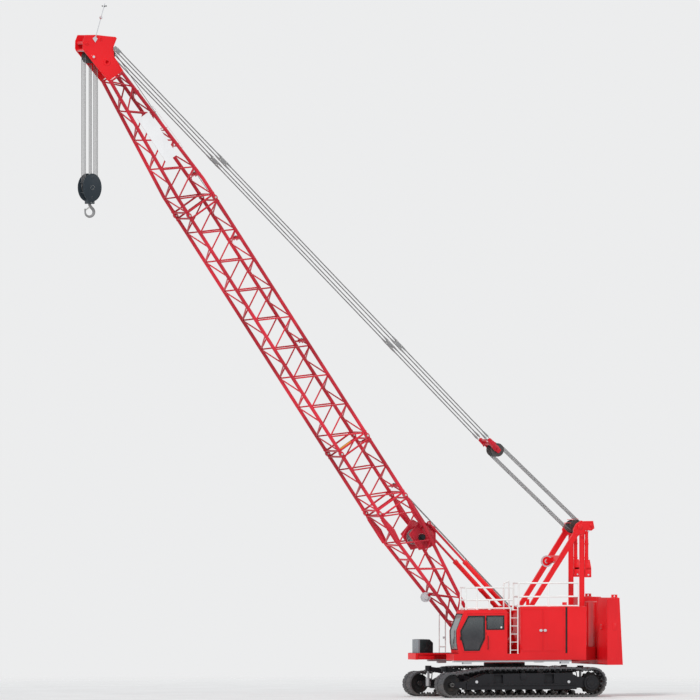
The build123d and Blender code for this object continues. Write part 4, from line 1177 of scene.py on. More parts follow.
@dataclass(frozen=True)
class Boom:
    """The lattice boom: round chords and lacing, joints and winch frame."""

    width: float = 1.7
    depth: float = 1.41
    foot_width: float = 0.95
    foot_depth: float = 0.3
    head_width: float = 0.96
    head_depth: float = 0.64
    base_taper: float = 6.2
    top_taper: float = 24.0
    lattice_end: float = 29.75
    drop: float = 0.055
    chord: float = 0.076
    lacing: float = 0.033
    end_lacing: float = 0.033 + 0.009
    joints: tuple[float, ...] = (7.66, 10.74, 23.04)
    sections: tuple[BoomSection, ...] = (
        BoomSection("boom_base", (0.5, 6.2, 7.66), 1.15, 7.51, 9, (1, 4.6, 6.9)),
        BoomSection("boom_insert_short", (7.66, 10.74), 7.81, 10.59, 4),
        BoomSection("boom_insert_long", (10.74, 23.04), 10.89, 22.89, 16),
        BoomSection("boom_top", (23.04, 24.0, 29.75), 23.19, 29.69, 9, (-1, 28.9, 29.75), True),
    )

    def half(self, s: float, widest: float, foot: float, head: float) -> float:
        """Half a size of the boom at a station, from its sizes midway and at both ends."""
        if s < self.base_taper:
            return (foot + (widest - foot) * s / self.base_taper) / 2
        if s > self.top_taper:
            share = (s - self.top_taper) / (self.lattice_end - self.top_taper)
            return (widest + (head - widest) * share) / 2
        return widest / 2

    def half_width(self, s: float) -> float:
        """Half the distance between the left and right chords at a station."""
        return self.half(s, self.width, self.foot_width, self.head_width)

    def level(self, s: float, level: float) -> float:
        """Height of the chords at a station: level is +1 top, -1 bottom."""
        return level * self.half(s, self.depth, self.foot_depth, self.head_depth) - self.drop

    def corner(self, s: float, side: float, level: float) -> Point:
        """Chord centre at a station: side is +1 left, level is +1 top."""
        return on_boom(s, side * self.half_width(s), self.level(s, level))

    def lattice(self, section: BoomSection) -> Form:
        """Chords, zigzag lacing and end frames of one section."""
        form = Form()
        corners = ((1, 1), (1, -1), (-1, -1), (-1, 1))
        for side, level in corners:
            for a, b in zip(section.bends, section.bends[1:]):
                form.bar(self.corner(a, side, level), self.corner(b, side, level), self.chord, 16)
            for bend in section.bends[1:-1]:
                form.ball(self.corner(bend, side, level), self.chord * 0.998, 3)
        stations = section.stations()
        faces = list(zip(corners, corners[1:] + corners[:1]))
        for number, (first, second) in enumerate(faces):
            level = first[1] if first[1] == second[1] else 0
            for i, (a, b) in enumerate(zip(stations, stations[1:])):
                held = section.open_face
                if held and level == held[0] and a >= held[1] and b <= held[2] + 1e-6:
                    continue
                start, end = (first, second) if (i + number // 2) % 2 == 0 else (second, first)
                self.brace(form, self.corner(a, *start), self.corner(b, *end), self.lacing)
        for s in (stations[0], stations[-1]):
            for first, second in faces:
                level = first[1] if first[1] == second[1] else 0
                if section.open_end and level == -1 and s == stations[-1]:
                    continue
                self.brace(form, self.corner(s, *first), self.corner(s, *second), self.end_lacing)
        return form

    def brace(self, form: Form, start: Point, end: Point, radius: float) -> None:
        """One lacing tube with a weld collar where it meets each chord."""
        form.bar(start, end, radius, 12)
        low, high = Vector(start), Vector(end)
        way = (high - low).normalized()
        for spot, sign in ((low, 1), (high, -1)):
            near = spot + way * sign * (self.chord * 0.9)
            far = spot + way * sign * (self.chord * 0.9 + 0.05)
            form.bar(tuple(near), tuple(far), radius + 0.012, 12, radius * 0.98)

    def connectors(self) -> None:
        """Fork and eye ends with their pins where two sections meet."""
        lugs = Form()
        pins = Form()
        collar = [(0.077, 0), (0.092, 0.012), (0.092, 0.05), (0.077, 0.075)]
        for s, side, level in product(self.joints, (1, -1), (1, -1)):
            y, t = side * self.half_width(s), self.level(s, level)
            for sign in (1, -1):
                lugs.turned(collar, on_boom(s + sign * 0.17, y, t), BOOM_WAY * sign, 16)
            for y0, y1 in ((-0.075, -0.042), (-0.028, 0.028), (0.042, 0.075)):
                outline = oval((s, t), 0.13, 0.098, 16)
                lugs.plate(outline, y + y0, y + y1, "Y", 0.004, BOOM_FRAME)
            pins.rod((s, t), y - 0.115, y + 0.115, 0.034, 14)
            pins.rod((s, t), y + side * 0.105, y + side * 0.125, 0.045, 14)
        lugs.piece("boom_joint_lugs", "lattice_red", "boom")
        pins.piece("boom_joint_pins", "plated_steel", "boom")

    def foot(self) -> Form:
        """Cheek plates at the foot, with their bosses round the pin."""
        form = Form()
        cheek = [
            (-0.11, -0.1), (0, -0.125), (0.3, -0.215), (1.5, -0.395),
            (1.5, 0.29), (0.3, 0.105), (0, 0.125), (-0.11, 0.07),
        ]
        boss = [
            (0.052, -0.07), (0.118, -0.07), (0.125, -0.06),
            (0.125, 0.06), (0.118, 0.07), (0.052, 0.07),
        ]
        for side in (1, -1):
            y = side * self.foot_width / 2
            form.plate(cheek, y - 0.055, y + 0.055, "Y", 0.006, BOOM_FRAME)
            form.turned(boss, on_boom(0, y, 0), ACROSS, 32)
            for t in (-0.30, 0.20):
                form.block((0.4, y - 0.07, t - 0.01), (1.45, y + 0.07, t + 0.01), 0.003, BOOM_FRAME)
        return form

    def winch_frame(self, form: Form) -> None:
        """Plates that carry the auxiliary winch, the reel's hangers and the stiffened bays."""
        outline = [
            (5.27, -0.05), (6.1, -0.05), (6.22, 0.42), (6.3, 0.76),
            (5.95, 0.93), (5.5, 1.02), (5.08, 0.74), (5.08, 0.43),
        ]
        bend = [(6.15, 0.525), (6.7, 0.455), (7.4, 0.575), (7.4, 0.755), (6.15, 0.755)]
        rib = [(5.36, 0.02), (6.04, 0.02), (6.04, 0.05), (5.36, 0.05)]
        boss = [(0.06, 0), (0.11, 0), (0.12, 0.012), (0.12, 0.045), (0.06, 0.045)]
        for side in (1, -1):
            y = side * 0.5
            form.plate(outline, y - 0.02, y + 0.02, "Y", 0.004, BOOM_FRAME)
            form.turned(boss, on_boom(5.68, y + side * 0.015, 0.35), (0, side, 0), 24)
            for level in (1, -1):
                turned = [(s, level * (t + self.drop) - self.drop) for s, t in bend]
                form.plate(turned, side * 0.85 - 0.014, side * 0.85 + 0.014, "Y", 0.003, BOOM_FRAME)
            form.plate(outline, y + side * 0.018, y + side * 0.034, "Y", 0.003, BOOM_FRAME, 0.05)
            form.plate(rib, y + side * 0.018, y + side * 0.07, "Y", 0.003, BOOM_FRAME)
        s, t = 3.33, -0.78
        for place, level in ((5.2, 1), (5.2, -1), (6.0, 1), (6.0, -1), (s, -1)):
            ends = self.corner(place, 1, level), self.corner(place, -1, level)
            form.bar(*ends, self.end_lacing, 12)
        chord = self.level(s, -1)
        west, east = s - 0.06, s + 0.06
        hanger = [(west, t - 0.06), (east, t - 0.06), (east, chord), (west, chord)]
        for y in (0.07, -0.09):
            form.plate(hanger, y, y + 0.02, "Y", 0.003, BOOM_FRAME)

    def gussets(self, form: Form, section: BoomSection) -> None:
        """Small plates in the corners of the end frames."""
        for s, way in ((section.first, 1), (section.last, -1)):
            if section.name == "boom_base" and way > 0 or section.open_end and way < 0:
                continue
            half = self.half_width(s)
            for side, level in product((1, -1), (1, -1)):
                y, t = side * half, self.level(s, level)
                corner = [(y, t), (y - side * 0.24, t), (y, t - level * 0.24)]
                form.plate(corner, s - 0.006, s + 0.006, "X", 0.0, BOOM_FRAME)

    def build(self) -> None:
        """Every section of the boom and its joints."""
        for section in self.sections:
            form = self.lattice(section)
            self.gussets(form, section)
            if section.name == "boom_base":
                form.take(self.foot().bm)
                self.winch_frame(form)
            made = form.piece(section.name + "_tubes", "lattice_red", "boom", 40)
            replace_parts(made, section.name)
        self.connectors()


BOOM = Boom()


@dataclass(frozen=True)
class BoomFittings:
    """What the boom carries: winch, reel, rope guides, the sign's stays and a strut."""

    winch: Flat = (5.68, 0.35)
    reel: Flat = (3.33, -0.78)
    guides_at: tuple[float, ...] = (8.1, 10.4, 15.6, 20.9, 24.2, 28.6)
    stays_at: tuple[float, ...] = (25.75, 26.6, 27.45)
    sign: tuple[Flat, Flat] = ((25.5, 0.792), (27.7, 0.651))
    strut_s: float = 10.6

    def aux_winch(self) -> None:
        """Grooved drum wound with rope, its flanges, gearbox and motor."""
        s, t = self.winch
        shell = Form()
        profile = [(0.10, -0.43)]
        for y in (-0.43, 0.39):
            profile += [(0.33, y), (0.335, y + 0.006), (0.335, y + 0.034), (0.33, y + 0.04)]
            profile += [(0.25, y + 0.04)] if y < 0 else []
        profile[5:6] = [(0.25, -0.389), (0.25, 0.389)]
        profile += [(0.10, 0.43)]
        shell.turned(profile, on_boom(s, 0, t), ACROSS, 40)
        shell.rod(self.winch, -0.48, 0.48, 0.055, 20)
        cover = [(0, 0), (0.19, 0), (0.19, 0.03), (0.15, 0.05), (0.15, 0.07), (0, 0.07)]
        shell.turned(cover, on_boom(s, 0.43, t), ACROSS, 32)
        made = shell.piece("aux_winch_shell", "machined_steel", "boom")
        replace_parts(made, "base_winch_drum")
        turns = [on_boom(s, -0.375 + i * 0.030, t) for i in range(26)]
        wound("aux_winch_rope", turns, ACROSS, 0.262, THICK_ROPE, "boom")
        motor = Form()
        motor.rod(self.winch, 0.52, 0.70, 0.13, 24)
        motor.rod(self.winch, 0.70, 0.76, 0.09, 20)
        motor.block((s - 0.07, 0.56, t - 0.16), (s + 0.07, 0.68, t - 0.10), 0.01, BOOM_FRAME)
        motor.piece("aux_winch_motor", "charcoal_paint", "boom")
        bolts = Form()
        bolts.bolts(on_boom(s, 0.565, t), ACROSS, 0.165, 12, 0.011)
        bolts.bolts(on_boom(s, -0.565, t), (0, -1, 0), 0.09, 8, 0.012)
        bolts.piece("aux_winch_bolts", "plated_steel", "boom")

    def cable_reel(self) -> None:
        """Reel of signal cable with spokes in its flanges."""
        s, t = self.reel
        form = Form()
        flange = [(0.0, 0), (0.18, 0), (0.18, 0.004), (0.06, 0.01), (0.0, 0.01)]
        for y in (-0.06, 0.05):
            form.turned(washer(0.175, 0.21, 0, 0.01), on_boom(s, y, t), ACROSS, 36)
            form.turned(flange, on_boom(s, y, t), ACROSS, 24)
            for near, far in zip(oval(self.reel, 0.05, 0.05, 6), oval(self.reel, 0.19, 0.19, 6)):
                ends = [on_boom(u, y + 0.005, v) for u, v in (near, far)]
                form.bar(*ends, 0.009, 6)
        form.rod(self.reel, -0.07, 0.07, 0.04, 16)
        hub = [(0, 0), (0.10, 0), (0.11, 0.02), (0.10, 0.045), (0, 0.045)]
        form.turned(hub, on_boom(s, 0.065, t), ACROSS, 24)
        made = form.piece("cable_reel_frame", "light_grey_paint", "boom")
        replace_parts(made, "cable_reel")
        cable = Form()
        for i in range(8):
            cable.ring(on_boom(s, -0.044 + i * 0.0125, t), ACROSS, 0.155, 0.0065, 28)
        cable.turned(washer(0.05, 0.15, -0.05, 0.05), on_boom(s, 0, t), ACROSS, 28)
        cable.piece("reel_cable", "black_hose", "boom")

    def guides(self) -> None:
        """Rollers and brackets that hold the hoist rope above the top face."""
        steel = Form()
        brackets = Form()
        roller = [
            (0.0, -0.165), (0.062, -0.165), (0.05, -0.14),
            (0.05, 0.14), (0.062, 0.165), (0.0, 0.165),
        ]
        for s in self.guides_at:
            t, half = BOOM.level(s, 1), BOOM.half_width(s)
            brackets.rod((s, t), -half, half, 0.036, 10)
            sides = ((-0.09, -0.02), (0.09, -0.02), (0.045, 0.2), (-0.045, 0.2))
            cheek = [(s + ds, t + dt) for ds, dt in sides]
            for y in (-0.19, 0.17):
                brackets.plate(cheek, y, y + 0.02, "Y", 0.003, BOOM_FRAME)
            steel.turned(roller, on_boom(s, 0, t + 0.14), ACROSS, 20)
            steel.rod((s, t + 0.14), -0.21, 0.21, 0.02, 10)
        brackets.piece("rope_guide_brackets", "lattice_red", "boom")
        steel.piece("rope_guide_rollers", "sheave_steel", "boom")

    def sign_frame(self) -> None:
        """Rim and stand-offs of the blank sign."""
        (s0, t0), (s1, t1) = self.sign
        form = Form()
        for s in self.stays_at:
            t, half = BOOM.level(s, 1), BOOM.half_width(s)
            top = t0 + (t1 - t0) * (s - s0) / (s1 - s0)
            for y in (-0.30, 0.24):
                form.bar(on_boom(s, y, t - 0.02), on_boom(s, y, top), 0.016, 8)
            form.rod((s, t), -half, half, 0.024, 8)
        form.piece("sign_stays", "lattice_red", "boom")
        rim = Form()
        low, high = (s0, t0 + 0.03), (s1, t1 + 0.03)
        for y in (-0.33, 0.27):
            rim.bar(on_boom(low[0], y, low[1]), on_boom(high[0], y, high[1]), 0.012, 8)
        for place in (low, high):
            rim.rod(place, -0.33, 0.27, 0.012, 8)
        rim.piece("sign_rim", "panel_white", "boom")

    def strut(self) -> None:
        """Pale yellow strut between the far side's chords, just before the second joint."""
        s = self.strut_s
        form = Form()
        form.bar(on_boom(s + 0.02, -0.6, -0.30), on_boom(s, -0.6, 0.30), 0.058, 14)
        for t in (-0.30, 0.27):
            form.bar(on_boom(s + 0.01, -0.6, t), on_boom(s + 0.01, -0.6, t + 0.03), 0.075, 14)
        form.piece("joint_strut", "safety_yellow", "boom")

    def build(self) -> None:
        """All the boom's fittings."""
        self.strut()
        self.aux_winch()
        self.cable_reel()
        self.guides()
        self.sign_frame()


# ------------------------------------------------------------------------- boom head
SHEAVE_AXLE = on_boom(31.0, 0.0, -0.43)
FALLS = (-0.24, -0.08, 0.08, 0.24)
REEVE = (-3.18, 7.26)
PARTS_OF_LINE = (-0.28, -0.14, 0.0, 0.14, 0.28)
# Sheaves as radius, width of rim and radius of hub.
HEAD_SHEAVE = (0.28, 0.05, 0.09)
REEVE_SHEAVE = (0.29, 0.05, 0.08)


def sheave(form: Form, centre: Point, radius: float, width: float, hub: float) -> None:
    """A grooved sheave with a thin web and a hub, its axis across the crane.

    Args:
        form: The mesh that takes it.
        centre: Middle of the sheave.
        radius: Rim radius.
        width: Width of the rim.
        hub: Radius of the hub.
    """
    half = width / 2
    groove = radius - 0.03
    side = [
        (hub * 0.6, half), (hub, half), (hub + 0.01, half * 0.5), (groove - 0.035, half * 0.4),
        (groove - 0.02, half * 0.9), (radius, half), (radius, half * 0.72), (groove, half * 0.3),
    ]
    profile = side + [(r, -h) for r, h in reversed(side)]
    form.turned(profile, centre, ACROSS, 32)


@dataclass(frozen=True)
class BoomHead:
    """Sheaves, shafts, edge bars and tubes of the head, and the lamp and gauge of its pole."""

    cheek: float = 0.48
    bosses: tuple[tuple[float, float, float], ...] = (
        (31.0, -0.43, 0.12), (31.45, 0.25, 0.075), (31.62, -0.35, 0.07)
    )
    edges: tuple[tuple[Flat, Flat], ...] = (
        ((29.85, 0.30), (30.5, 0.30)),
        ((29.85, -0.42), (30.55, -0.50)),
        ((30.86, 0.52), (31.1, 0.84)),
    )
    guards: tuple[Flat, ...] = ((30.55, -0.12), (31.42, -0.55), (31.36, -0.12))
    nose: Flat = (19.19, 27.80)

    def sheaves(self) -> None:
        """Grooved sheaves on the head shaft."""
        form = Form()
        x, _, z = SHEAVE_AXLE
        for y in FALLS:
            sheave(form, (x, y, z), *HEAD_SHEAVE)
        form.disc(x, z, 0.06, -self.cheek + 0.02, self.cheek - 0.02, 20)
        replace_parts(form.piece("head_sheaves_grooved", "sheave_steel", "boom"), "head_sheaves")
        idler = Form()
        top = on_boom(30.55, 0.0, 0.42)
        sheave(idler, top, 0.20, 0.06, 0.07)
        idler.disc(top[0], top[2], 0.035, -0.2, 0.2, 14)
        idler.piece("head_lead_sheave", "sheave_steel", "boom")

    def trim(self) -> None:
        """Pin bosses, edge bars, guard bars and tubes across the nose."""
        red = Form()
        pale = Form()
        for side in (1, -1):
            y = side * (self.cheek + 0.018)
            for s, t, r in self.bosses:
                profile = [(r * 0.45, 0), (r, 0), (r, 0.012), (r * 0.8, 0.03), (r * 0.45, 0.03)]
                red.turned(profile, on_boom(s, y, t), (0, side, 0), 20)
            for line in self.edges:
                red.bar(*[on_boom(s, y, t) for s, t in line], 0.017, 8)
            ear = [(30.9, 0.6), (31.1, 0.6), (31.12, 0.84), (31.04, 0.84)]
            red.plate(ear, side * 0.36, side * 0.40, "Y", 0.003, BOOM_FRAME)
            cap = [(0, 0), (0.055, 0), (0.055, 0.012), (0.03, 0.02), (0, 0.02)]
            pale.turned(cap, on_boom(31.0, y + side * 0.02, -0.43), (0, side, 0), 16)
        for place in self.guards:
            pale.rod(place, -0.46, 0.46, 0.018, 10)
        x, middle = self.nose
        for z in (middle + 0.15, middle - 0.15):
            pale.disc(x, z, 0.055, -0.56, 0.46, 14)
            pale.disc(x, z, 0.068, -0.585, -0.56, 14)
            for y in (-0.40, 0.34):
                red.block((x - 0.34, y, z - 0.06), (x - 0.03, y + 0.06, z + 0.06), 0.01)
        red.piece("head_bosses", "red_paint", "boom")
        pale.piece("head_tubes", "light_grey_paint", "boom")

    def pole(self) -> None:
        """Wind gauge, warning lamp and bracket on the pole."""
        lens = Form()
        x, y, z = on_boom(32.2, 0.52, 0.78)
        dome = [(0, 0), (0.05, 0), (0.055, 0.04), (0.045, 0.10), (0, 0.125)]
        lens.turned(dome, (x, y, z - 0.06), UP, 20)
        lens.piece("pole_lamp", "red_lens", "boom")
        cups = Form()
        x, y, z = on_boom(32.57, 0.50, 1.23)
        for tip in oval((x, y), 0.10, 0.10, 3):
            cups.bar((x, y, z - 0.07), (*tip, z - 0.07), 0.006, 6)
            cups.ball((*tip, z - 0.07), 0.028, 2)
        cups.bar((x, y, z - 0.12), (x, y, z - 0.05), 0.025, 12)
        cups.piece("wind_gauge", "black_rubber", "boom")

    def build(self) -> None:
        """The whole head."""
        self.sheaves()
        self.trim()
        self.pole()


# ------------------------------------------------------------------------- ropes and rods
@dataclass(frozen=True)
class Rigging:
    """Stays, bridle, parts of line, falls and the hoist rope."""

    bridle: Flat = (0.42, 10.56)
    bridle_end: Flat = (0.9, 11.0)
    stay_head: Flat = (17.93, 27.79)
    stay_y: float = 0.545
    gap: float = 0.062
    links: tuple[float, ...] = (0.243, 0.71)
    block_z: float = 21.8

    def along(self, share: float, off: float = 0.0) -> Flat:
        """A place on the stays' line, off to one side by a distance."""
        (x0, z0), (x1, z1) = self.bridle_end, self.stay_head
        angle = math.atan2(z1 - z0, x1 - x0)
        x, z = x0 + (x1 - x0) * share, z0 + (z1 - z0) * share
        return (x - off * math.sin(angle), z + off * math.cos(angle))

    def stays(self) -> None:
        """Paired stay ropes with their sockets, links and pins."""
        shares = [0.0, *self.links, 1.0]
        routes = []
        sockets = Form()
        links = Form()
        pins = Form()
        link = ((-1, -0.062), (1, -0.062), (1, 0.062), (-1, 0.062))
        plates = [[self.along(at + k * 0.0085, off * 1.45) for k, off in link] for at in self.links]
        end = ((0, -0.10), (1, -0.075), (1, 0.075), (0, 0.10))
        plates.append([self.along(0.985 + k * 0.014, off) for k, off in end])
        for y in (self.stay_y, -self.stay_y):
            for off, (low, high) in product((self.gap, -self.gap), zip(shares, shares[1:])):
                ends = (low + 0.003, high - 0.003)
                routes.append([across(self.along(at, off), y) for at in ends])
                for share, sign in ((low, 1), (high, -1)):
                    p, q = (self.along(share + sign * by, off) for by in (0.006, 0.018))
                    sockets.bar(across(p, y), across(q, y), 0.048, 12, 0.030)
                    pins.disc(*p, 0.028, y - 0.062, y + 0.062, 12)
            for outline in plates:
                for low in (y - 0.05, y + 0.034):
                    links.plate(outline, low, low + 0.016, "Y", 0.004)
        made = rope("stay_ropes", routes, 0.024, "boom")
        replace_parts(made, "pendants")
        sockets.piece("stay_sockets", "hook_steel", "boom")
        links.piece("stay_links", "hook_steel", "boom")
        pins.piece("stay_pins", "plated_steel", "boom")

    def bridle_parts(self) -> None:
        """The floating bridle: grooved sheaves, shaft, side plates and guards."""
        steel = Form()
        x, z = self.bridle
        for y in PARTS_OF_LINE:
            sheave(steel, (x, y, z), *REEVE_SHEAVE)
        steel.disc(x, z, 0.045, -0.37, 0.37, 18)
        made = steel.piece("bridle_sheaves", "sheave_steel", "boom")
        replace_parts(made, "bridle")
        red = Form()
        (x0, z0), (x1, z1) = self.bridle, self.bridle_end
        run = math.dist(self.bridle, self.bridle_end)
        ax, az = (x1 - x0) / run, (z1 - z0) / run
        shape = [
            (-0.12, -0.09), (0.10, -0.13), (0.40, -0.10), (run + 0.02, -0.085), (run + 0.06, 0.0),
            (run + 0.02, 0.085), (0.40, 0.10), (0.10, 0.13), (-0.12, 0.09),
        ]
        plates = ((-0.12, 0.5, 0.05, (-0.37, 0.32)), (0.32, run + 0.06, 0.06, (-0.575, 0.515)))
        for first, last, thick, places in plates:
            kept = [(min(max(a, first), last), b) for a, b in shape]
            outline = [(x0 + a * ax - b * az, z0 + a * az + b * ax) for a, b in dict.fromkeys(kept)]
            for y in places:
                red.plate(outline, y, y + thick, "Y", 0.006)
        for share, radius in ((0.62, 0.075), (0.96, 0.036)):
            px, pz = x0 + ax * run * share, z0 + az * run * share
            red.disc(px, pz, radius, -0.59, 0.59, 16)
        cap = [(0, 0), (0.09, 0), (0.09, 0.01), (0.06, 0.024), (0, 0.024)]
        for way in (-1, 1):
            red.turned(cap, (x, way * 0.37, z), (0, way, 0), 20)
        red.piece("bridle_plates", "link_steel", "boom")

    def hoist_lines(self) -> None:
        """Parts of line that luff the boom; they stretch between gantry and bridle."""
        (x0, z0), (x1, z1) = REEVE, self.bridle
        angle = math.atan2(z1 - z0, x1 - x0)
        reach = REEVE_SHEAVE[0] - 0.012
        routes = []
        for sign, y in product((1, -1), PARTS_OF_LINE):
            dx, dz = -math.sin(angle) * reach * sign, math.cos(angle) * reach * sign
            routes.append([(x0 + dx, y, z0 + dz), (x1 + dx, y, z1 + dz)])
        made = rope("luffing_lines", routes, THIN_ROPE, "")
        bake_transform(made)
        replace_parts(made, "boom_hoist_ropes")

    def falls(self) -> None:
        """Parts of line between the head and the block, and the becket lines between them."""
        x, _, z = SHEAVE_AXLE
        outer = [(x + sign * 0.272, y) for sign, y in product((1, -1), FALLS)]
        routes = [[(*place, z), (*place, self.block_z)] for place in outer]
        for y in (-0.15, 0.0, 0.15):
            routes.append([(x - 0.03, y, z - 0.33), (x - 0.03, y, self.block_z + 0.5)])
        made = rope("falls_lines", routes, THICK_ROPE, "")
        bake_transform(made)
        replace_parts(made, "hoist_falls")

    def hoist_rope(self) -> None:
        """Hoist ropes from the middle winch to the boom's guide, one of them on to the head."""
        start = (-1.85, 0.0, 2.27)
        guide = on_boom(8.1, 0.0, 0.83)
        sides = [[(x, y + dy, z) for x, y, z in (start, guide)] for dy in (-0.13, 0.0)]
        lead = rope("hoist_rope_lead", sides, THICK_ROPE, "")
        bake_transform(lead)
        guides = ((10.4, 0.857), (20.9, 0.857), (30.5, 0.62))
        points = [guide] + [on_boom(s, 0, t) for s, t in guides]
        turns = (0.0, 0.45, 0.9)
        over = [on_boom(30.55 + 0.2 * math.sin(a), 0.0, 0.42 + 0.2 * math.cos(a)) for a in turns]
        down = on_boom(31.26, 0.05, -0.35)
        rope("hoist_rope_boom", [points + over + [down]], THIN_ROPE, "boom")

    def build(self) -> None:
        """All of the rigging."""
        self.stays()
        self.bridle_parts()
        self.hoist_lines()
        self.falls()
        self.hoist_rope()


@dataclass(frozen=True)
class HookBlock:
    """Fall block and swivel hook with their trim."""

    centre: Flat = (SHEAVE_AXLE[0], 21.8)
    bowl: float = 20.75

    def build(self) -> None:
        """Sheaves, oval cheeks, guards, crosshead, hook and latch."""
        x, z = self.centre
        steel = Form()
        for y in FALLS:
            sheave(steel, (x, y, z), *HEAD_SHEAVE)
        steel.disc(x, z, 0.055, -0.34, 0.34, 20)
        made = steel.piece("block_sheaves", "sheave_steel", "hook_block")
        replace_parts(made, "hook_block")
        red = Form()
        for way in (-1, 1):
            out = way * 0.34
            low = min(out, out - way * 0.04)
            red.plate(oval(self.centre, 0.425, 0.6, 40), low, low + 0.04, "Y", 0.008)
            red.plate(oval(self.centre, 0.36, 0.52, 40), out - 0.004, out + way * 0.004, "Y", 0.002)
            for spot, r in ((z, 0.12), (z + 0.42, 0.045), (z - 0.42, 0.045)):
                cap = [(0, 0), (r, 0), (r, 0.012), (r * 0.75, 0.022), (0, 0.022)]
                red.turned(cap, (x, out, spot), (0, way, 0), 20)
        red.block((x - 0.12, -0.31, z - 0.70), (x + 0.12, 0.31, z - 0.47), 0.02)
        for dx, dz in ((0.30, 0.20), (-0.30, 0.20), (0.30, -0.22), (-0.30, -0.22), (0.0, 0.5)):
            red.disc(x + dx, z + dz, 0.02, -0.31, 0.31, 10)
        red.piece("block_cheeks", "block_paint", "hook_block")
        bolts = Form()
        for way in (1, -1):
            bolts.bolts((x, way * 0.362, z), (0, way, 0), 0.085, 6, 0.013)
            bolts.bolts((x, way * 0.342, z + 0.42), (0, way, 0), 0.001, 1, 0.024)
            bolts.bolts((x, way * 0.312, z - 0.585), (0, way, 0), 0.07, 4, 0.014)
        bolts.piece("block_bolts", "plated_steel", "hook_block")
        self.hook(x, z)

    def hook(self, x: float, z: float) -> None:
        """Forged hook of round section that thins to its tip, with nut and latch."""
        form = Form()
        low = self.bowl
        stops = [(x, low + 0.72, 0.062), (x, low + 0.30, 0.062), (x - 0.05, low + 0.22, 0.065)]
        for k in range(13):
            angle = math.radians(128 + k * 19)
            dx, dz = 0.008 + 0.197 * math.cos(angle), 0.003 + 0.197 * math.sin(angle)
            stops.append((x + dx, low + dz, 0.066 - 0.000225 * k * k))
        stops.append((x + 0.205, low + 0.12, 0.036))
        for (ax, az, ar), (bx, bz, br) in zip(stops, stops[1:]):
            form.bar((ax, 0, az), (bx, 0, bz), ar, 16, br)
            form.ball((bx, 0, bz), br, 2)
        nut = [(0, 0), (0.10, 0), (0.105, 0.012), (0.105, 0.055), (0.09, 0.064), (0, 0.064)]
        form.turned(nut, (x, 0, z - 0.464), UP, 6)
        made = form.piece("forged_hook", "hook_steel", "hook", 40)
        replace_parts(made, "hook")
        latch = Form()
        tongue = ((-0.02, 0.20), (0.02, 0.235), (0.20, 0.10), (0.17, 0.075))
        latch.plate([(x + dx, low + dz) for dx, dz in tongue], -0.028, 0.028, "Y", 0.006)
        latch.bar((x - 0.005, -0.05, low + 0.215), (x - 0.005, 0.05, low + 0.215), 0.014, 10)
        latch.piece("hook_latch", "plated_steel", "hook")


# ------------------------------------------------------------------------- cab and houses
def cushion(name: str, middle: Point, size: Point, lean: float = 0.0) -> None:
    """A stuffed pad, crowned, its sides drawn in between its corners.

    Args:
        name: The piece's name.
        middle: Centre of the pad.
        size: Its length, width and height.
        lean: How far it leans back, in degrees.
    """
    form = Form()
    bmesh.ops.create_cube(form.bm, size=1.0)
    bmesh.ops.subdivide_edges(form.bm, edges=form.bm.edges[:], cuts=11, use_grid_fill=True)
    axes = {f"use_axis_{axis}": True for axis in "xyz"}
    for _ in range(7):
        bmesh.ops.smooth_vert(form.bm, verts=form.bm.verts, factor=0.5, **axes)
    reach = 2 * max(vert.co.x for vert in form.bm.verts)
    sized = Matrix.Diagonal((*[length / reach for length in size], 1.0))
    turn = Matrix.Rotation(math.radians(-lean), 4, "Y")
    place = Matrix.Translation(middle) @ turn @ sized
    bmesh.ops.transform(form.bm, matrix=place, verts=form.bm.verts)
    form.piece(name, "seat_cloth", "upper", 60)


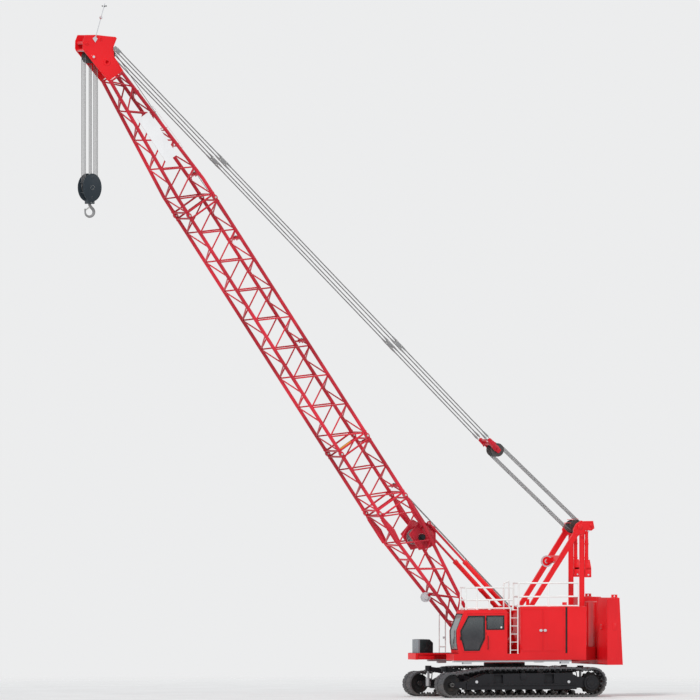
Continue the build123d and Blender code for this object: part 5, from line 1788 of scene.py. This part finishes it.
@dataclass(frozen=True)
class Cab:
    """Seals, wiper, hinges and handles of the cab, and the operator's place in it."""

    inner: float = 0.78
    outer: float = 1.7
    seat_y: float = 1.24
    side_window: tuple[Flat, ...] = ((0.625, 2.88), (1.45, 2.88), (1.45, 3.5), (0.625, 3.5))
    inner_window: tuple[Flat, ...] = (
        (0.785, 2.385), (2.265, 2.385), (2.265, 3.495), (0.785, 3.495)
    )
    rear_window: tuple[Flat, ...] = (
        (0.895, 2.885), (1.585, 2.885), (1.585, 3.495), (0.895, 3.495)
    )
    door_glass: tuple[Flat, ...] = (
        (1.503, 3.495), (2.273, 3.495), (2.64, 2.842), (2.615, 2.552),
        (2.452, 1.985), (1.758, 1.985), (1.503, 2.505),
    )
    screen: tuple[Flat, ...] = ((2.731, 2.05), (2.78, 2.35), (2.79, 2.85), (2.498, 3.56))

    def seals(self) -> None:
        """Black rubber round every pane and along the windscreen's edges."""
        form = Form()
        form.plate(self.side_window, self.outer - 0.03, self.outer + 0.006, rim=0.05)
        form.plate(self.inner_window, self.inner - 0.005, self.inner + 0.03, rim=0.035)
        form.plate(self.rear_window, 0.481, 0.515, "X", rim=0.03)
        low, high = self.inner + 0.07, self.outer - 0.07
        for y in (low, high):
            form.run([across(place, y) for place in self.screen], 0.017, 8)
        for place in (self.screen[0], self.screen[-1]):
            form.disc(*place, 0.017, low, high, 8)
        form.piece("cab_seals", "black_rubber", "upper")
        door = Form()
        door.plate(self.door_glass, self.outer - 0.03, self.outer + 0.006, rim=0.06)
        door.blocks([
            (2.605, self.outer, 2.45, 2.645, self.outer + 0.03, 2.6, 0.008),
            (2.595, self.outer + 0.022, 2.47, 2.625, self.outer + 0.034, 2.58, 0.005),
        ])
        door.piece("door_seal", "black_rubber", "cab_door")

    def fittings(self) -> None:
        """Wiper, hinges, handle, gutter, roof hatch and the window's catch."""
        black = Form()
        y = self.outer + 0.007
        for z in (2.72, 3.34):
            black.bar((1.462, y, z - 0.06), (1.462, y, z + 0.06), 0.008, 10)
        grip = ((-0.01, 2.06), (0.055, 2.06), (0.055, 2.62), (-0.01, 2.62))
        black.run([(1.38, self.outer + dy, z) for dy, z in grip], 0.012, 10, 0.03)
        black.run([(2.765, 1.24, 2.10), (2.80, 1.24, 2.14), (2.806, 1.40, 2.62)], 0.009, 8)
        black.bar((2.803, 1.38, 2.30), (2.803, 1.42, 2.86), 0.011, 8)
        black.piece("cab_fittings", "black_rubber", "upper")
        red = Form()
        red.blocks([
            (0.56, self.outer - 0.01, 3.588, 2.32, self.outer + 0.016, 3.612, 0.005),
            (1.0, 0.98, 3.735, 1.7, 1.5, 3.762, 0.012),
        ])
        red.piece("cab_gutter", "red_paint", "upper")
        knob = Form()
        profile = [(0, 0), (0.042, 0), (0.042, 0.012), (0.028, 0.026), (0, 0.03)]
        knob.turned(profile, (0.76, self.outer - 0.01, 2.985), ACROSS, 20)
        knob.piece("window_catch", "white_paint", "upper")

    def station(self) -> None:
        """Seat base, consoles, levers, screen and pedals."""
        mid = self.seat_y
        form = Form()
        form.blocks([
            (1.15, mid - 0.2, 1.9, 1.5, mid + 0.2, 2.18, 0.02),
            (1.1, mid - 0.22, 2.18, 1.56, mid + 0.22, 2.245, 0.012),
            (0.95, self.inner + 0.06, 1.9, 2.5, self.outer - 0.06, 1.912, 0.003),
            (2.12, mid - 0.2, 1.912, 2.34, mid - 0.08, 1.99, 0.012),
            (2.12, mid + 0.08, 1.912, 2.34, mid + 0.2, 1.99, 0.012),
            (2.36, mid - 0.34, 2.42, 2.40, mid - 0.1, 2.62, 0.01),
            (2.36, mid - 0.24, 1.912, 2.4, mid - 0.2, 2.44, 0.008),
        ])
        for y in (mid - 0.4, mid + 0.28):
            form.block((1.15, y, 1.9), (1.7, y + 0.12, 2.45), 0.02)
            form.block((1.18, y + 0.01, 2.45), (1.67, y + 0.11, 2.5), 0.014)
            for x in (1.46, 1.58):
                form.bar((x, y + 0.06, 2.49), (x + 0.02, y + 0.06, 2.63), 0.011, 8)
                form.ball((x + 0.022, y + 0.06, 2.64), 0.027, 2)
        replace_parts(form.piece("operator_station", "interior_dark", "upper"), "cab_inside")
        cushion("seat_cushion", (1.33, mid, 2.315), (0.54, 0.48, 0.14))
        cushion("seat_back", (1.055, mid, 2.72), (0.13, 0.46, 0.74), 7)
        cushion("seat_headrest", (0.99, mid, 3.14), (0.1, 0.26, 0.17), 7)

    def build(self) -> None:
        """The whole cab."""
        self.seals()
        self.fittings()
        self.station()


@dataclass(frozen=True)
class House:
    """Latches, hinges and pressed frames of the doors, and what stands on the roofs."""

    outer: float = 1.7
    roof: float = 3.84
    low: float = 1.96
    high: float = 3.74
    latch_z: float = 2.845
    border: float = 0.05
    louvres: int = 11
    spans: tuple[tuple[str, float, float, float], ...] = (
        ("front", -1.131, -0.165, -1.041), ("rear", -2.105, -1.141, -1.231)
    )

    def doors(self) -> None:
        """Pale latch shields and pressed frames on all four leaves, louvres on the right ones."""
        for side, label in ((1, "left"), (-1, "right")):
            face = side * self.outer
            for row, x0, x1, latch in self.spans:
                body = f"house_door_{row}_{label}"
                shield = Form()
                outline = oval((latch, self.latch_z), 0.072, 0.06, 24)
                shield.plate(outline, face - side * 0.004, face + side * 0.037, "Y", 0.008)
                shield.piece(f"latch_{row}_{label}", "light_grey_paint", body)
                leaf = Form()
                west, east = x0 + self.border, x1 - self.border
                low, high = self.low + self.border, self.high - self.border
                outline = [(west, low), (east, low), (east, high), (west, high)]
                ends = face - side * 0.003, face + side * 0.005
                leaf.plate(outline, *ends, "Y", 0.002, None, 0.022)
                for k in range(self.louvres if side < 0 else 0):
                    z = 2.15 + k * 0.045
                    slat = ((0.004, 0), (-0.018, -0.012), (-0.018, -0.006), (0.004, 0.012))
                    outline = [(face + dy, z + dz) for dy, dz in slat]
                    leaf.plate(outline, x0 + 0.2, x1 - 0.2, "X")
                leaf.piece(f"door_press_{row}_{label}", "red_paint", body)

    def walls(self) -> None:
        """Hinges, roof edges, the joint's strips and the plinth line, alike on both sides."""
        red = Form()
        for x, z in product((-0.158, -2.112), (2.12, 2.85, 3.58)):
            y = self.outer + 0.01
            red.bar((x, y, z - 0.05), (x, y, z + 0.05), 0.015, 10)
        roof, face = self.roof, self.outer
        red.blocks([
            (-3.11, 1.655, roof - 0.004, -0.11, 1.70, roof + 0.022, 0.006),
            (-3.11, 0.80, roof - 0.004, -0.11, 0.845, roof + 0.022, 0.006),
            (-2.268, face - 0.012, 1.87, -2.256, face + 0.003, 3.83, 0.0),
            (-2.164, face - 0.012, 1.87, -2.152, face + 0.003, 3.83, 0.0),
            (-3.05, face - 0.002, 2.0, -2.4, face + 0.004, 2.03, 0.0),
            (-3.05, face - 0.002, 3.67, -2.4, face + 0.004, 3.70, 0.0),
            (-2.45, 1.12, roof, -2.18, 1.3, roof + 0.02, 0.005),
        ])
        red.piece("house_trim", "red_paint", "upper", copies=PAIR)
        dark = Form()
        dark.block((-2.25, self.outer - 0.021, 1.87), (-2.17, self.outer - 0.014, 3.83))
        dark.piece("house_joint", "black_rubber", "upper", copies=PAIR)

    def roof_gear(self) -> None:
        """Exhaust stub, a lifting eye and the fascia of the right deck's inner edge."""
        red = Form()
        red.turned(washer(0.062, 0.075, 0, 0.3), (-1.55, -1.3, self.roof), UP, 24)
        red.block((-2.4, 1.19, self.roof), (-2.2, 1.23, self.roof + 0.2), 0.012)
        red.block((2.9, -0.8, 1.585), (3.75, -0.782, 1.80), 0.003)
        red.piece("roof_gear", "red_paint", "upper")

    def build(self) -> None:
        """Both houses."""
        self.doors()
        self.walls()
        self.roof_gear()


@dataclass(frozen=True)
class Access:
    """Handrails, ladder and grab rail, their tubes bent at the corners."""

    tube: float = 0.034
    outer: float = 1.55
    inner: float = 0.9
    sets: tuple[tuple[float, tuple[float, ...], tuple[tuple[float, float], ...]], ...] = (
        (3.74, (3.8, 4.16, 4.69), ((2.32, 4.69), (1.825, 4.69), (1.255, 4.16), (0.18, 4.69))),
        (3.84, (3.89, 4.29, 4.87), ((-0.085, 4.87), (-1.445, 4.87), (-2.815, 4.87))),
    )
    hoop: tuple[Flat, ...] = ((0.36, 3.74), (0.36, 4.86), (0.12, 4.96), (0.12, 3.84))
    loop: tuple[Flat, ...] = ((2.33, 1.86), (2.33, 3.508), (2.61, 3.508), (2.61, 1.86))
    ladder_y: float = 1.67
    rungs: int = 6
    rung: Flat = (2.01, 0.344)

    def rails(self) -> None:
        """Both sets of handrails, with a flange under each post."""
        form = Form()
        inner, outer, tube = self.inner, self.outer, self.tube
        for foot, levels, posts in self.sets:
            first, last = posts[0][0], posts[-1][0]
            for level in levels:
                line = ((first, inner), (first, outer), (last, outer))
                form.run([(x, y, level) for x, y in line], tube, 12, 0.08)
            form.run([(first, inner, foot), (first, inner, levels[-1])], tube, 12)
            for x, top in posts:
                form.bar((x, outer, foot), (x, outer, top), tube, 12)
                form.ball((x, outer, top), tube, 2)
                flange = (x + 0.06, outer + 0.05, foot + 0.014)
                form.block((x - 0.06, outer - 0.05, foot), flange, 0.003)
        form.run([across(place, inner) for place in self.hoop], tube, 12, 0.05)
        form.bar((0.18, outer, 4.34), (-0.085, outer, 4.34), 0.012, 8)
        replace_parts(form.piece("rails_bent", "white_paint", "upper"), "handrails")

    def ladders(self) -> None:
        """Ladder with grips on its rungs, and the loop rail with its lamp."""
        form = Form()
        y = self.ladder_y
        for x in (0.0, 0.34):
            form.run([(x, y, 1.86), (x, y, 3.82), (x, y - 0.1, 3.86)], 0.024, 12, 0.03)
            form.block((x - 0.03, y - 0.04, 1.86), (x + 0.03, y + 0.03, 1.872), 0.002)
        for k in range(self.rungs):
            z = self.rung[0] + k * self.rung[1]
            form.block((0.0, y - 0.018, z - 0.012), (0.34, y + 0.018, z + 0.012), 0.004)
            for x in (0.05 + j * 0.048 for j in range(6)):
                form.bar((x, y, z + 0.008), (x, y, z + 0.017), 0.009, 6)
        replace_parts(form.piece("ladder_rungs", "white_paint", "upper"), "ladder")
        loop = Form()
        loop.run([across(place, -0.98) for place in self.loop], 0.026, 12, 0.06)
        loop.bar((2.33, -0.98, 2.13), (2.61, -0.98, 2.13), 0.026, 12)
        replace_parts(loop.piece("loop_rail", "white_paint", "upper"), "grab_rail")
        lamp = Form()
        lens = [(0, 0), (0.055, 0), (0.06, 0.02), (0.045, 0.06), (0, 0.07)]
        lamp.turned(lens, (2.40, -0.93, 2.53), (1, 0, 0), 20)
        lamp.piece("deck_lamp", "clear_lens", "upper")

    def build(self) -> None:
        """Every rail and ladder."""
        self.rails()
        self.ladders()


# ------------------------------------------------------------------------- gantry and weights
def boss(form: Form, x: float, z: float, y: float, radius: float) -> None:
    """A pin boss with a stepped face, on the same place of both sides."""
    profile = [
        (0, -0.01), (radius, -0.01), (radius, 0.014),
        (radius * 0.72, 0.022), (radius * 0.55, 0.04), (0, 0.04),
    ]
    for way in (1, -1):
        form.turned(profile, (x, way * y, z), (0, way, 0), 24)


@dataclass(frozen=True)
class Gantry:
    """Sheaves, bosses, raised borders, deflector, links and hanging rods."""

    y: float = 0.67
    half: float = 0.06
    deflector: Flat = (-1.93, 5.78)
    leg: tuple[Flat, Flat] = ((0.05, 2.33), (-3.14, 7.15))
    rod_x: float = -3.51
    clevis: tuple[Flat, ...] = (
        (-0.2, 5.09), (0.08, 5.09), (0.08, 5.85), (-0.13, 5.85), (-0.2, 5.48)
    )
    head: tuple[Flat, ...] = (
        (-2.95, 6.93), (-2.93, 7.14), (-3.06, 7.365), (-3.24, 7.47),
        (-3.77, 7.475), (-3.82, 7.22), (-3.4, 7.12), (-3.36, 6.97),
    )
    bosses: tuple[tuple[float, float, float, float], ...] = (
        (*REEVE, 0.74, 0.12), (0.05, 2.33, 0.74, 0.085), (-3.295, 6.86, 0.712, 0.075),
        (-3.295, 2.2, 0.71, 0.09), (-0.25, 3.43, 0.7, 0.065), (-3.7, 7.32, 0.735, 0.08),
        (-3.66, 7.15, 0.735, 0.04),
    )

    def sheaves(self) -> None:
        """Grooved sheaves on the head's shaft and the deflector below."""
        steel = Form()
        for y in PARTS_OF_LINE:
            sheave(steel, across(REEVE, y), *REEVE_SHEAVE)
        steel.disc(*REEVE, 0.045, -self.y + self.half, self.y - self.half, 18)
        for y in (-0.5, 0.44):
            steel.disc(*REEVE, 0.07, y, y + 0.06, 18)
        made = steel.piece("gantry_sheaves_grooved", "sheave_steel", "upper")
        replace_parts(made, "gantry_sheaves")
        pale = Form()
        sheave(pale, across(self.deflector), 0.25, 0.075, 0.09)
        pale.piece("deflector_rim", "light_grey_paint", "upper")

    def trim(self) -> None:
        """Raised borders on legs and head, bosses and the guard over the sheaves."""
        red = Form()
        (x0, z0), (x1, z1) = self.leg
        run = math.dist(*self.leg)
        nx, nz = (z1 - z0) / run, (x0 - x1) / run
        for side in (1, -1):
            face = side * (self.y + self.half)
            low, high = face - side * 0.004, face + side * 0.01
            for share, other, w0, w1 in ((0.03, 0.48, 0.078, 0.094), (0.5, 0.93, 0.096, 0.11)):
                corners = ((share, w0), (other, w1), (other, -w1), (share, -w0))
                outline = [
                    (x0 + (x1 - x0) * at + nx * wide, z0 + (z1 - z0) * at + nz * wide)
                    for at, wide in corners
                ]
                red.plate(outline, low, high, "Y", 0.002, None, 0.026)
            red.plate(self.head, low, high, "Y", 0.002, None, 0.024)
            for z_low, z_high in ((2.3, 4.4), (4.5, 6.8)):
                outline = [(-3.385, z_low), (-3.205, z_low), (-3.205, z_high), (-3.385, z_high)]
                red.plate(outline, side * 0.696, side * 0.708, "Y", 0.002, None, 0.024)
        for place in self.bosses:
            boss(red, *place)
        for turn in (0.5, 1.1, 1.7):
            x, z = REEVE[0] + 0.33 * math.cos(turn), REEVE[1] + 0.33 * math.sin(turn)
            red.disc(x, z, 0.012, -0.4, 0.4, 8)
        red.piece("gantry_trim", "red_paint", "upper")

    def rods(self) -> None:
        """Round hanging rods with bored clevises and pale pins."""
        red = Form()
        pins = Form()
        outline = [(self.rod_x + x, z) for x, z in self.clevis]
        low = [(x, min(z, 5.5)) for x, z in outline]
        rod = [
            (0, 0), (0.08, 0), (0.08, 1.0), (0.072, 1.01),
            (0.072, 1.26), (0.08, 1.27), (0.08, 1.36), (0, 1.36),
        ]
        for y in (self.y, -self.y):
            red.turned(rod, (self.rod_x, y, 5.72), UP, 24)
            for z in (5.9, 6.5):
                red.turned(washer(0, 0.092, 0, 0.05), (self.rod_x, y, z), UP, 24)
            red.plate([(x, max(z, 5.42)) for x, z in outline], y - 0.06, y + 0.06, "Y", 0.01)
            for y0 in (y - 0.06, y + 0.026):
                red.plate(list(dict.fromkeys(low)), y0, y0 + 0.034, "Y", 0.006)
            pins.disc(self.rod_x - 0.06, 5.2, 0.035, y - 0.085, y + 0.085, 16)
            pins.disc(self.rod_x - 0.06, 7.07, 0.04, y - 0.09, y + 0.09, 16)
        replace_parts(red.piece("hanging_rods", "red_paint", "upper"), "gantry_rods")
        pins.piece("rod_pins", "light_grey_paint", "upper")

    def build(self) -> None:
        """The whole gantry."""
        self.sheaves()
        self.trim()
        self.rods()


@dataclass(frozen=True)
class Backstops:
    """Smooth barrels and rods of the two telescopic stops."""

    y: float = 0.6
    foot: Flat = (-0.25, 3.43)
    eye: Flat = (3.657, 7.449)
    barrel: float = 3.3
    rod: float = 3.44

    def spot(self, distance: float, y: float) -> Point:
        """A place along a stop, from its foot pin."""
        share = distance / math.dist(self.foot, self.eye)
        (x0, z0), (x1, z1) = self.foot, self.eye
        return (x0 + (x1 - x0) * share, y, z0 + (z1 - z0) * share)

    def build(self) -> None:
        """Barrels with glands and end plates, rods with eyes."""
        tubes, rods, pins = Form(), Form(), Form()
        length = math.dist(self.foot, self.eye)
        ax, az = (self.eye[0] - self.foot[0]) / length, (self.eye[1] - self.foot[1]) / length
        end = self.barrel
        barrel = [
            (0.066, 0.262), (0.066, end), (0.112, end), (0.112, end - 0.14), (0.1, end - 0.15),
            (0.1, 1.6), (0.107, 1.59), (0.107, 1.51), (0.1, 1.5), (0.1, 0.36), (0.108, 0.35),
            (0.108, 0.26), (0.09, 0.242), (0.066, 0.242),
        ]
        tip = [(0, 0), (0.066, 0), (0.07, 0.02), (0.07, 0.1), (0.052, 0.14), (0, 0.14)]
        corners = ((0.0, -0.078), (0.25, -0.078), (0.25, 0.078), (0.0, 0.078))
        x, z = self.foot
        fork = [(x + run * ax - off * az, z + run * az + off * ax) for run, off in corners]
        for y in (self.y, -self.y):
            tubes.turned(barrel, self.spot(0.0, y), (ax, 0, az), 28)
            tubes.bar(self.spot(0.242, y), self.spot(0.262, y), 0.09, 24)
            tubes.plate(fork, y - 0.04, y + 0.04, "Y", 0.004)
            tubes.turned(washer(0.042, 0.1, -0.04, 0.04), self.spot(0.0, y), ACROSS, 28)
            rods.bar(self.spot(length - self.rod, y), self.spot(length - 0.06, y), 0.052, 24)
            rods.turned(washer(0.03, 0.085, -0.04, 0.04), self.spot(length, y), ACROSS, 24)
            rods.turned(tip, self.spot(length - 0.24, y), (-ax, 0, -az), 24)
            pins.bolts(self.spot(end, y), (ax, 0.0, az), 0.09, 8, 0.01)
        made = tubes.piece("backstop_barrels", "red_paint", "backstop_tubes")
        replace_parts(made, "backstop_tubes")
        made = rods.piece("backstop_plungers", "lattice_red", "backstop_rods")
        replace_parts(made, "backstop_rods")
        pins.piece("gland_bolts", "plated_steel", "backstop_tubes")


@dataclass(frozen=True)
class UpperTrim:
    """Winch rope, counterweight fittings, deck plates and the cabinet's panels."""

    winches: tuple[Flat, ...] = ((-0.65, 2.0), (-1.6, 2.0), (-2.5, 2.0))

    def winding(self) -> None:
        """Rope on the three drums, with bolts round the bearing plates."""
        for number, (x, z) in enumerate(self.winches):
            centres = [(x, -0.385 + i * 0.032, z) for i in range(25)]
            wound(f"winch_rope_{number + 1}", centres, ACROSS, 0.274, THICK_ROPE, "upper")
        bolts = Form()
        for x, z in self.winches:
            bolts.bolts((x, 0.478, z), (0, -1, 0), 0.14, 10, 0.014)
            bolts.bolts((x, 0.44, z), ACROSS, 0.33, 16, 0.012)
        bolts.piece("winch_bolts", "plated_steel", "upper", copies=PAIR)

    def weights(self) -> None:
        """Guide rails, tie plates and edge strips of the stacks."""
        red = Form()
        red.blocks([
            (-3.958, 0.40, 1.66, -3.915, 0.46, 4.0, 0.008),
            (-3.958, 0.56, 1.66, -3.915, 0.62, 4.0, 0.008),
            (-3.90, 0.93, 1.66, -3.882, 0.99, 4.2, 0.004),
            (-3.90, 2.12, 1.66, -3.882, 2.18, 4.2, 0.004),
            (-3.90, 1.40, 2.86, -3.872, 1.62, 3.12, 0.006),
            (-4.30, 2.19, 2.84, -4.12, 2.212, 3.14, 0.006),
            (-3.91, 0.1, 1.38, -3.88, 2.1, 1.43, 0.006),
            (-4.56, 1.52, 4.226, -4.30, 1.68, 4.246, 0.004),
        ])
        for z in (1.9, 2.5, 3.4, 3.9):
            red.block((-3.94, 0.46, z), (-3.92, 0.56, z + 0.03), 0.002)
        red.piece("weight_trim", "counterweight_paint", "upper", copies=PAIR)
        bolts = Form()
        for y in (1.45, 1.57):
            for z in (2.91, 3.07):
                bolts.bar((-3.874, y, z), (-3.858, y, z), 0.018, 6)
        bolts.piece("weight_bolts", "plated_steel", "upper", copies=PAIR)

    def decks(self) -> None:
        """Grip plates on the decks and catches, louvres and dark panels on the cabinet."""
        grip = Form()
        grip.blocks([
            (0.0, -1.66, 1.858, 2.85, -0.78, 1.866, 0.0),
            (3.6, -1.66, 1.858, 3.74, -0.78, 1.866, 0.0),
            (-0.09, 0.78, 1.858, 0.46, 1.5, 1.866, 0.0),
            (2.72, 0.78, 1.858, 2.9, 1.66, 1.866, 0.0),
            (-0.9, -0.52, 1.548, 0.55, 0.52, 1.552, 0.0),
        ])
        grip.piece("grip_plates", "charcoal_paint", "upper")
        dark = Form()
        side = [(2.91, 1.87), (3.5, 1.87), (3.5, 2.43), (3.055, 2.43), (2.91, 2.296)]
        dark.plate(side, -0.951, -0.94, "Y", 0.003)
        dark.plate(side, -1.705, -1.699, "Y", 0.002)
        dark.block((3.06, -1.69, 2.436), (3.49, -0.96, 2.448), 0.004)
        for k in range(9):
            z = 1.96 + k * 0.045
            dark.block((3.0, -0.945, z), (3.42, -0.928, z + 0.016), 0.004)
        dark.piece("cabinet_panels", "panel_dark", "upper")
        catch = Form()
        for z in (2.05, 2.3):
            catch.block((3.566, -1.35, z), (3.585, -1.29, z + 0.05), 0.006)
        catch.piece("cabinet_catches", "plated_steel", "upper")

    def foot_pins(self) -> None:
        """Keeper plates and grease caps at the boom's foot pins."""
        pins = Form()
        cap = [(0, -0.005), (0.062, -0.005), (0.062, 0.012), (0, 0.016)]
        for y, way in ((0.60, 1), (0.33, -1)):
            pins.turned(cap, across(BOOM_FOOT, y), (0, way, 0), 24)
            pins.block((1.06, y - 0.01, 1.87), (1.094, y + way * 0.014, 1.93), 0.002)
        pins.piece("foot_pin_caps", "plated_steel", "upper", copies=PAIR)

    def build(self) -> None:
        """Everything small on the upper works."""
        self.winding()
        self.weights()
        self.decks()
        self.foot_pins()


ASSEMBLIES: tuple = (
    Crawler(1),
    Crawler(-1),
    Carbody(),
    BOOM,
    BoomFittings(),
    BoomHead(),
    Rigging(),
    HookBlock(),
    Cab(),
    House(),
    Access(),
    Gantry(),
    Backstops(),
    UpperTrim(),
)


# ------------------------------------------------------------------------- studio
def seen_from(azimuth: float, elevation: float) -> Vector:
    """Direction from the crane to where a lamp or the camera stands, from its angles in degrees."""
    turn, rise = math.radians(azimuth), math.radians(elevation)
    ground = math.cos(rise)
    return Vector((math.sin(turn) * ground, -math.cos(turn) * ground, math.sin(rise)))


@dataclass(frozen=True)
class Sun:
    """A soft distant lamp: where it shines from, in degrees, and how strongly."""

    name: str
    azimuth: float
    elevation: float
    strength: float
    spread: float
    tint: Colour = (1.0, 1.0, 1.0)

    def build(self) -> None:
        """Hang the lamp."""
        lamp = bpy.data.lights.new(self.name, "SUN")
        lamp.energy = self.strength
        lamp.angle = math.radians(self.spread)
        lamp.color = self.tint
        holder = bpy.data.objects.new(self.name, lamp)
        way = seen_from(self.azimuth, self.elevation)
        holder.rotation_euler = way.to_track_quat("Z", "Y").to_euler()
        holder.location = way * 60
        bpy.context.scene.collection.objects.link(holder)


@dataclass(frozen=True)
class Studio:
    """Pale floor, plain soft light and the camera."""

    floor_tones: tuple[Colour, Colour] = ((0.74, 0.74, 0.74), (0.78, 0.78, 0.78))
    backdrop: Colour = (0.84, 0.845, 0.85)
    sky_light: Colour = (0.96, 0.98, 1.0)
    sky_strength: float = 0.55
    reach: float = 60.0
    middle: float = 7.0
    aim: Point = (7.03, 0.0, 14.85)
    azimuth: float = 160.0
    elevation: float = 0.4
    lens: float = 1500.0
    sensor: float = 36.0
    clip: Flat = (10.0, 5000.0)
    width: float = 29.914
    suns: tuple[Sun, ...] = (
        Sun("key_sun", 128, 42, 1.5, 12),
        Sun("fill_sun", 215, 22, 0.5, 40),
        Sun("back_sun", 330, 35, 0.6, 30),
    )

    def floor(self) -> None:
        """A pale floor that fades out before its rim."""
        bm = bmesh.new()
        bmesh.ops.create_circle(bm, cap_ends=True, segments=96, radius=self.reach)
        bmesh.ops.translate(bm, vec=(self.middle, 0.0, -0.002), verts=bm.verts)
        mesh = bpy.data.meshes.new("floor")
        bm.to_mesh(mesh)
        bm.free()
        floor = bpy.data.objects.new("floor", mesh)
        bpy.context.scene.collection.objects.link(floor)
        shade = Shade("floor_pale")
        mottle = shade.noise(0.35, 5)
        shade.done(
            base_color=shade.mix(mottle.step(0.3, 0.7), *self.floor_tones),
            roughness=0.9,
            specular_ior_level=0.1,
        )
        wires = {0: shade.place(), 1: (self.middle, 0.0, 0.0)}
        centre = shade.node("ShaderNodeVectorMath", {"operation": "SUBTRACT"}, wires)
        far = shade.node("ShaderNodeVectorMath", {"operation": "LENGTH"}, {0: centre}, "Value")
        seen = shade.node("ShaderNodeLightPath", {}, {}, "Is Camera Ray")
        clear = shade.node("ShaderNodeBsdfTransparent", {}, {})
        share = far.step(self.reach * 0.35, self.reach * 0.95) * seen
        body = Signal(shade, shade.shader.outputs[0])
        shade.feed(
            shade.output.inputs["Surface"],
            shade.node("ShaderNodeMixShader", {}, {0: share, 1: body, 2: clear}),
        )
        mesh.materials.append(shade.material)

    def sky(self) -> None:
        """Even light from all round, with a pale backdrop where it is seen."""
        world = bpy.data.worlds.new("studio")
        world.use_nodes = True
        tree = world.node_tree
        tree.nodes.clear()
        paths = tree.nodes.new("ShaderNodeLightPath")
        most = tree.nodes.new("ShaderNodeMath")
        most.operation = "MAXIMUM"
        tree.links.new(paths.outputs["Is Camera Ray"], most.inputs[0])
        tree.links.new(paths.outputs["Is Transmission Ray"], most.inputs[1])
        light = tree.nodes.new("ShaderNodeBackground")
        light.inputs["Color"].default_value = (*self.sky_light, 1.0)
        light.inputs["Strength"].default_value = self.sky_strength
        seen = tree.nodes.new("ShaderNodeBackground")
        seen.inputs["Color"].default_value = (*self.backdrop, 1.0)
        seen.inputs["Strength"].default_value = 1.0
        mix = tree.nodes.new("ShaderNodeMixShader")
        tree.links.new(most.outputs[0], mix.inputs[0])
        tree.links.new(light.outputs[0], mix.inputs[1])
        tree.links.new(seen.outputs[0], mix.inputs[2])
        output = tree.nodes.new("ShaderNodeOutputWorld")
        tree.links.new(mix.outputs[0], output.inputs["Surface"])
        bpy.context.scene.world = world

    def camera(self) -> None:
        """A long lens far off, so that the crane is seen almost without perspective."""
        data = bpy.data.cameras.new("camera")
        data.lens = self.lens
        data.sensor_width = self.sensor
        data.clip_start, data.clip_end = self.clip
        distance = self.width / (self.sensor / self.lens)
        way = seen_from(self.azimuth, self.elevation)
        holder = bpy.data.objects.new("camera", data)
        holder.location = Vector(self.aim) + way * distance
        holder.rotation_euler = way.to_track_quat("Z", "Y").to_euler()
        bpy.context.scene.collection.objects.link(holder)
        bpy.context.scene.camera = holder

    def build(self) -> None:
        """Set the whole studio up."""
        self.floor()
        self.sky()
        self.camera()
        for sun in self.suns:
            sun.build()
        bpy.context.scene.view_settings.view_transform = "Standard"


def dress_nodes() -> None:
    """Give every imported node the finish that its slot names."""
    for name, node in frame["nodes"].items():
        for holder in node.material_slots:
            key = holder.material.name.split(".")[0]
            holder.material = MATERIALS[key]
        log.info("node %s: %s", name, node.material_slots[0].material.name)


def main() -> None:
    """Build the finishes, the pieces and the studio in order."""
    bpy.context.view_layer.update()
    for finish in FINISHES:
        MATERIALS[finish.name] = finish.build()
    dress_nodes()
    for assembly in ASSEMBLIES:
        before = len(PLACED)
        assembly.build()
        log.info("%s: %s", type(assembly).__name__, ", ".join(PLACED[before:]))
    Studio().build()


if __name__ == "__main__":
    main()
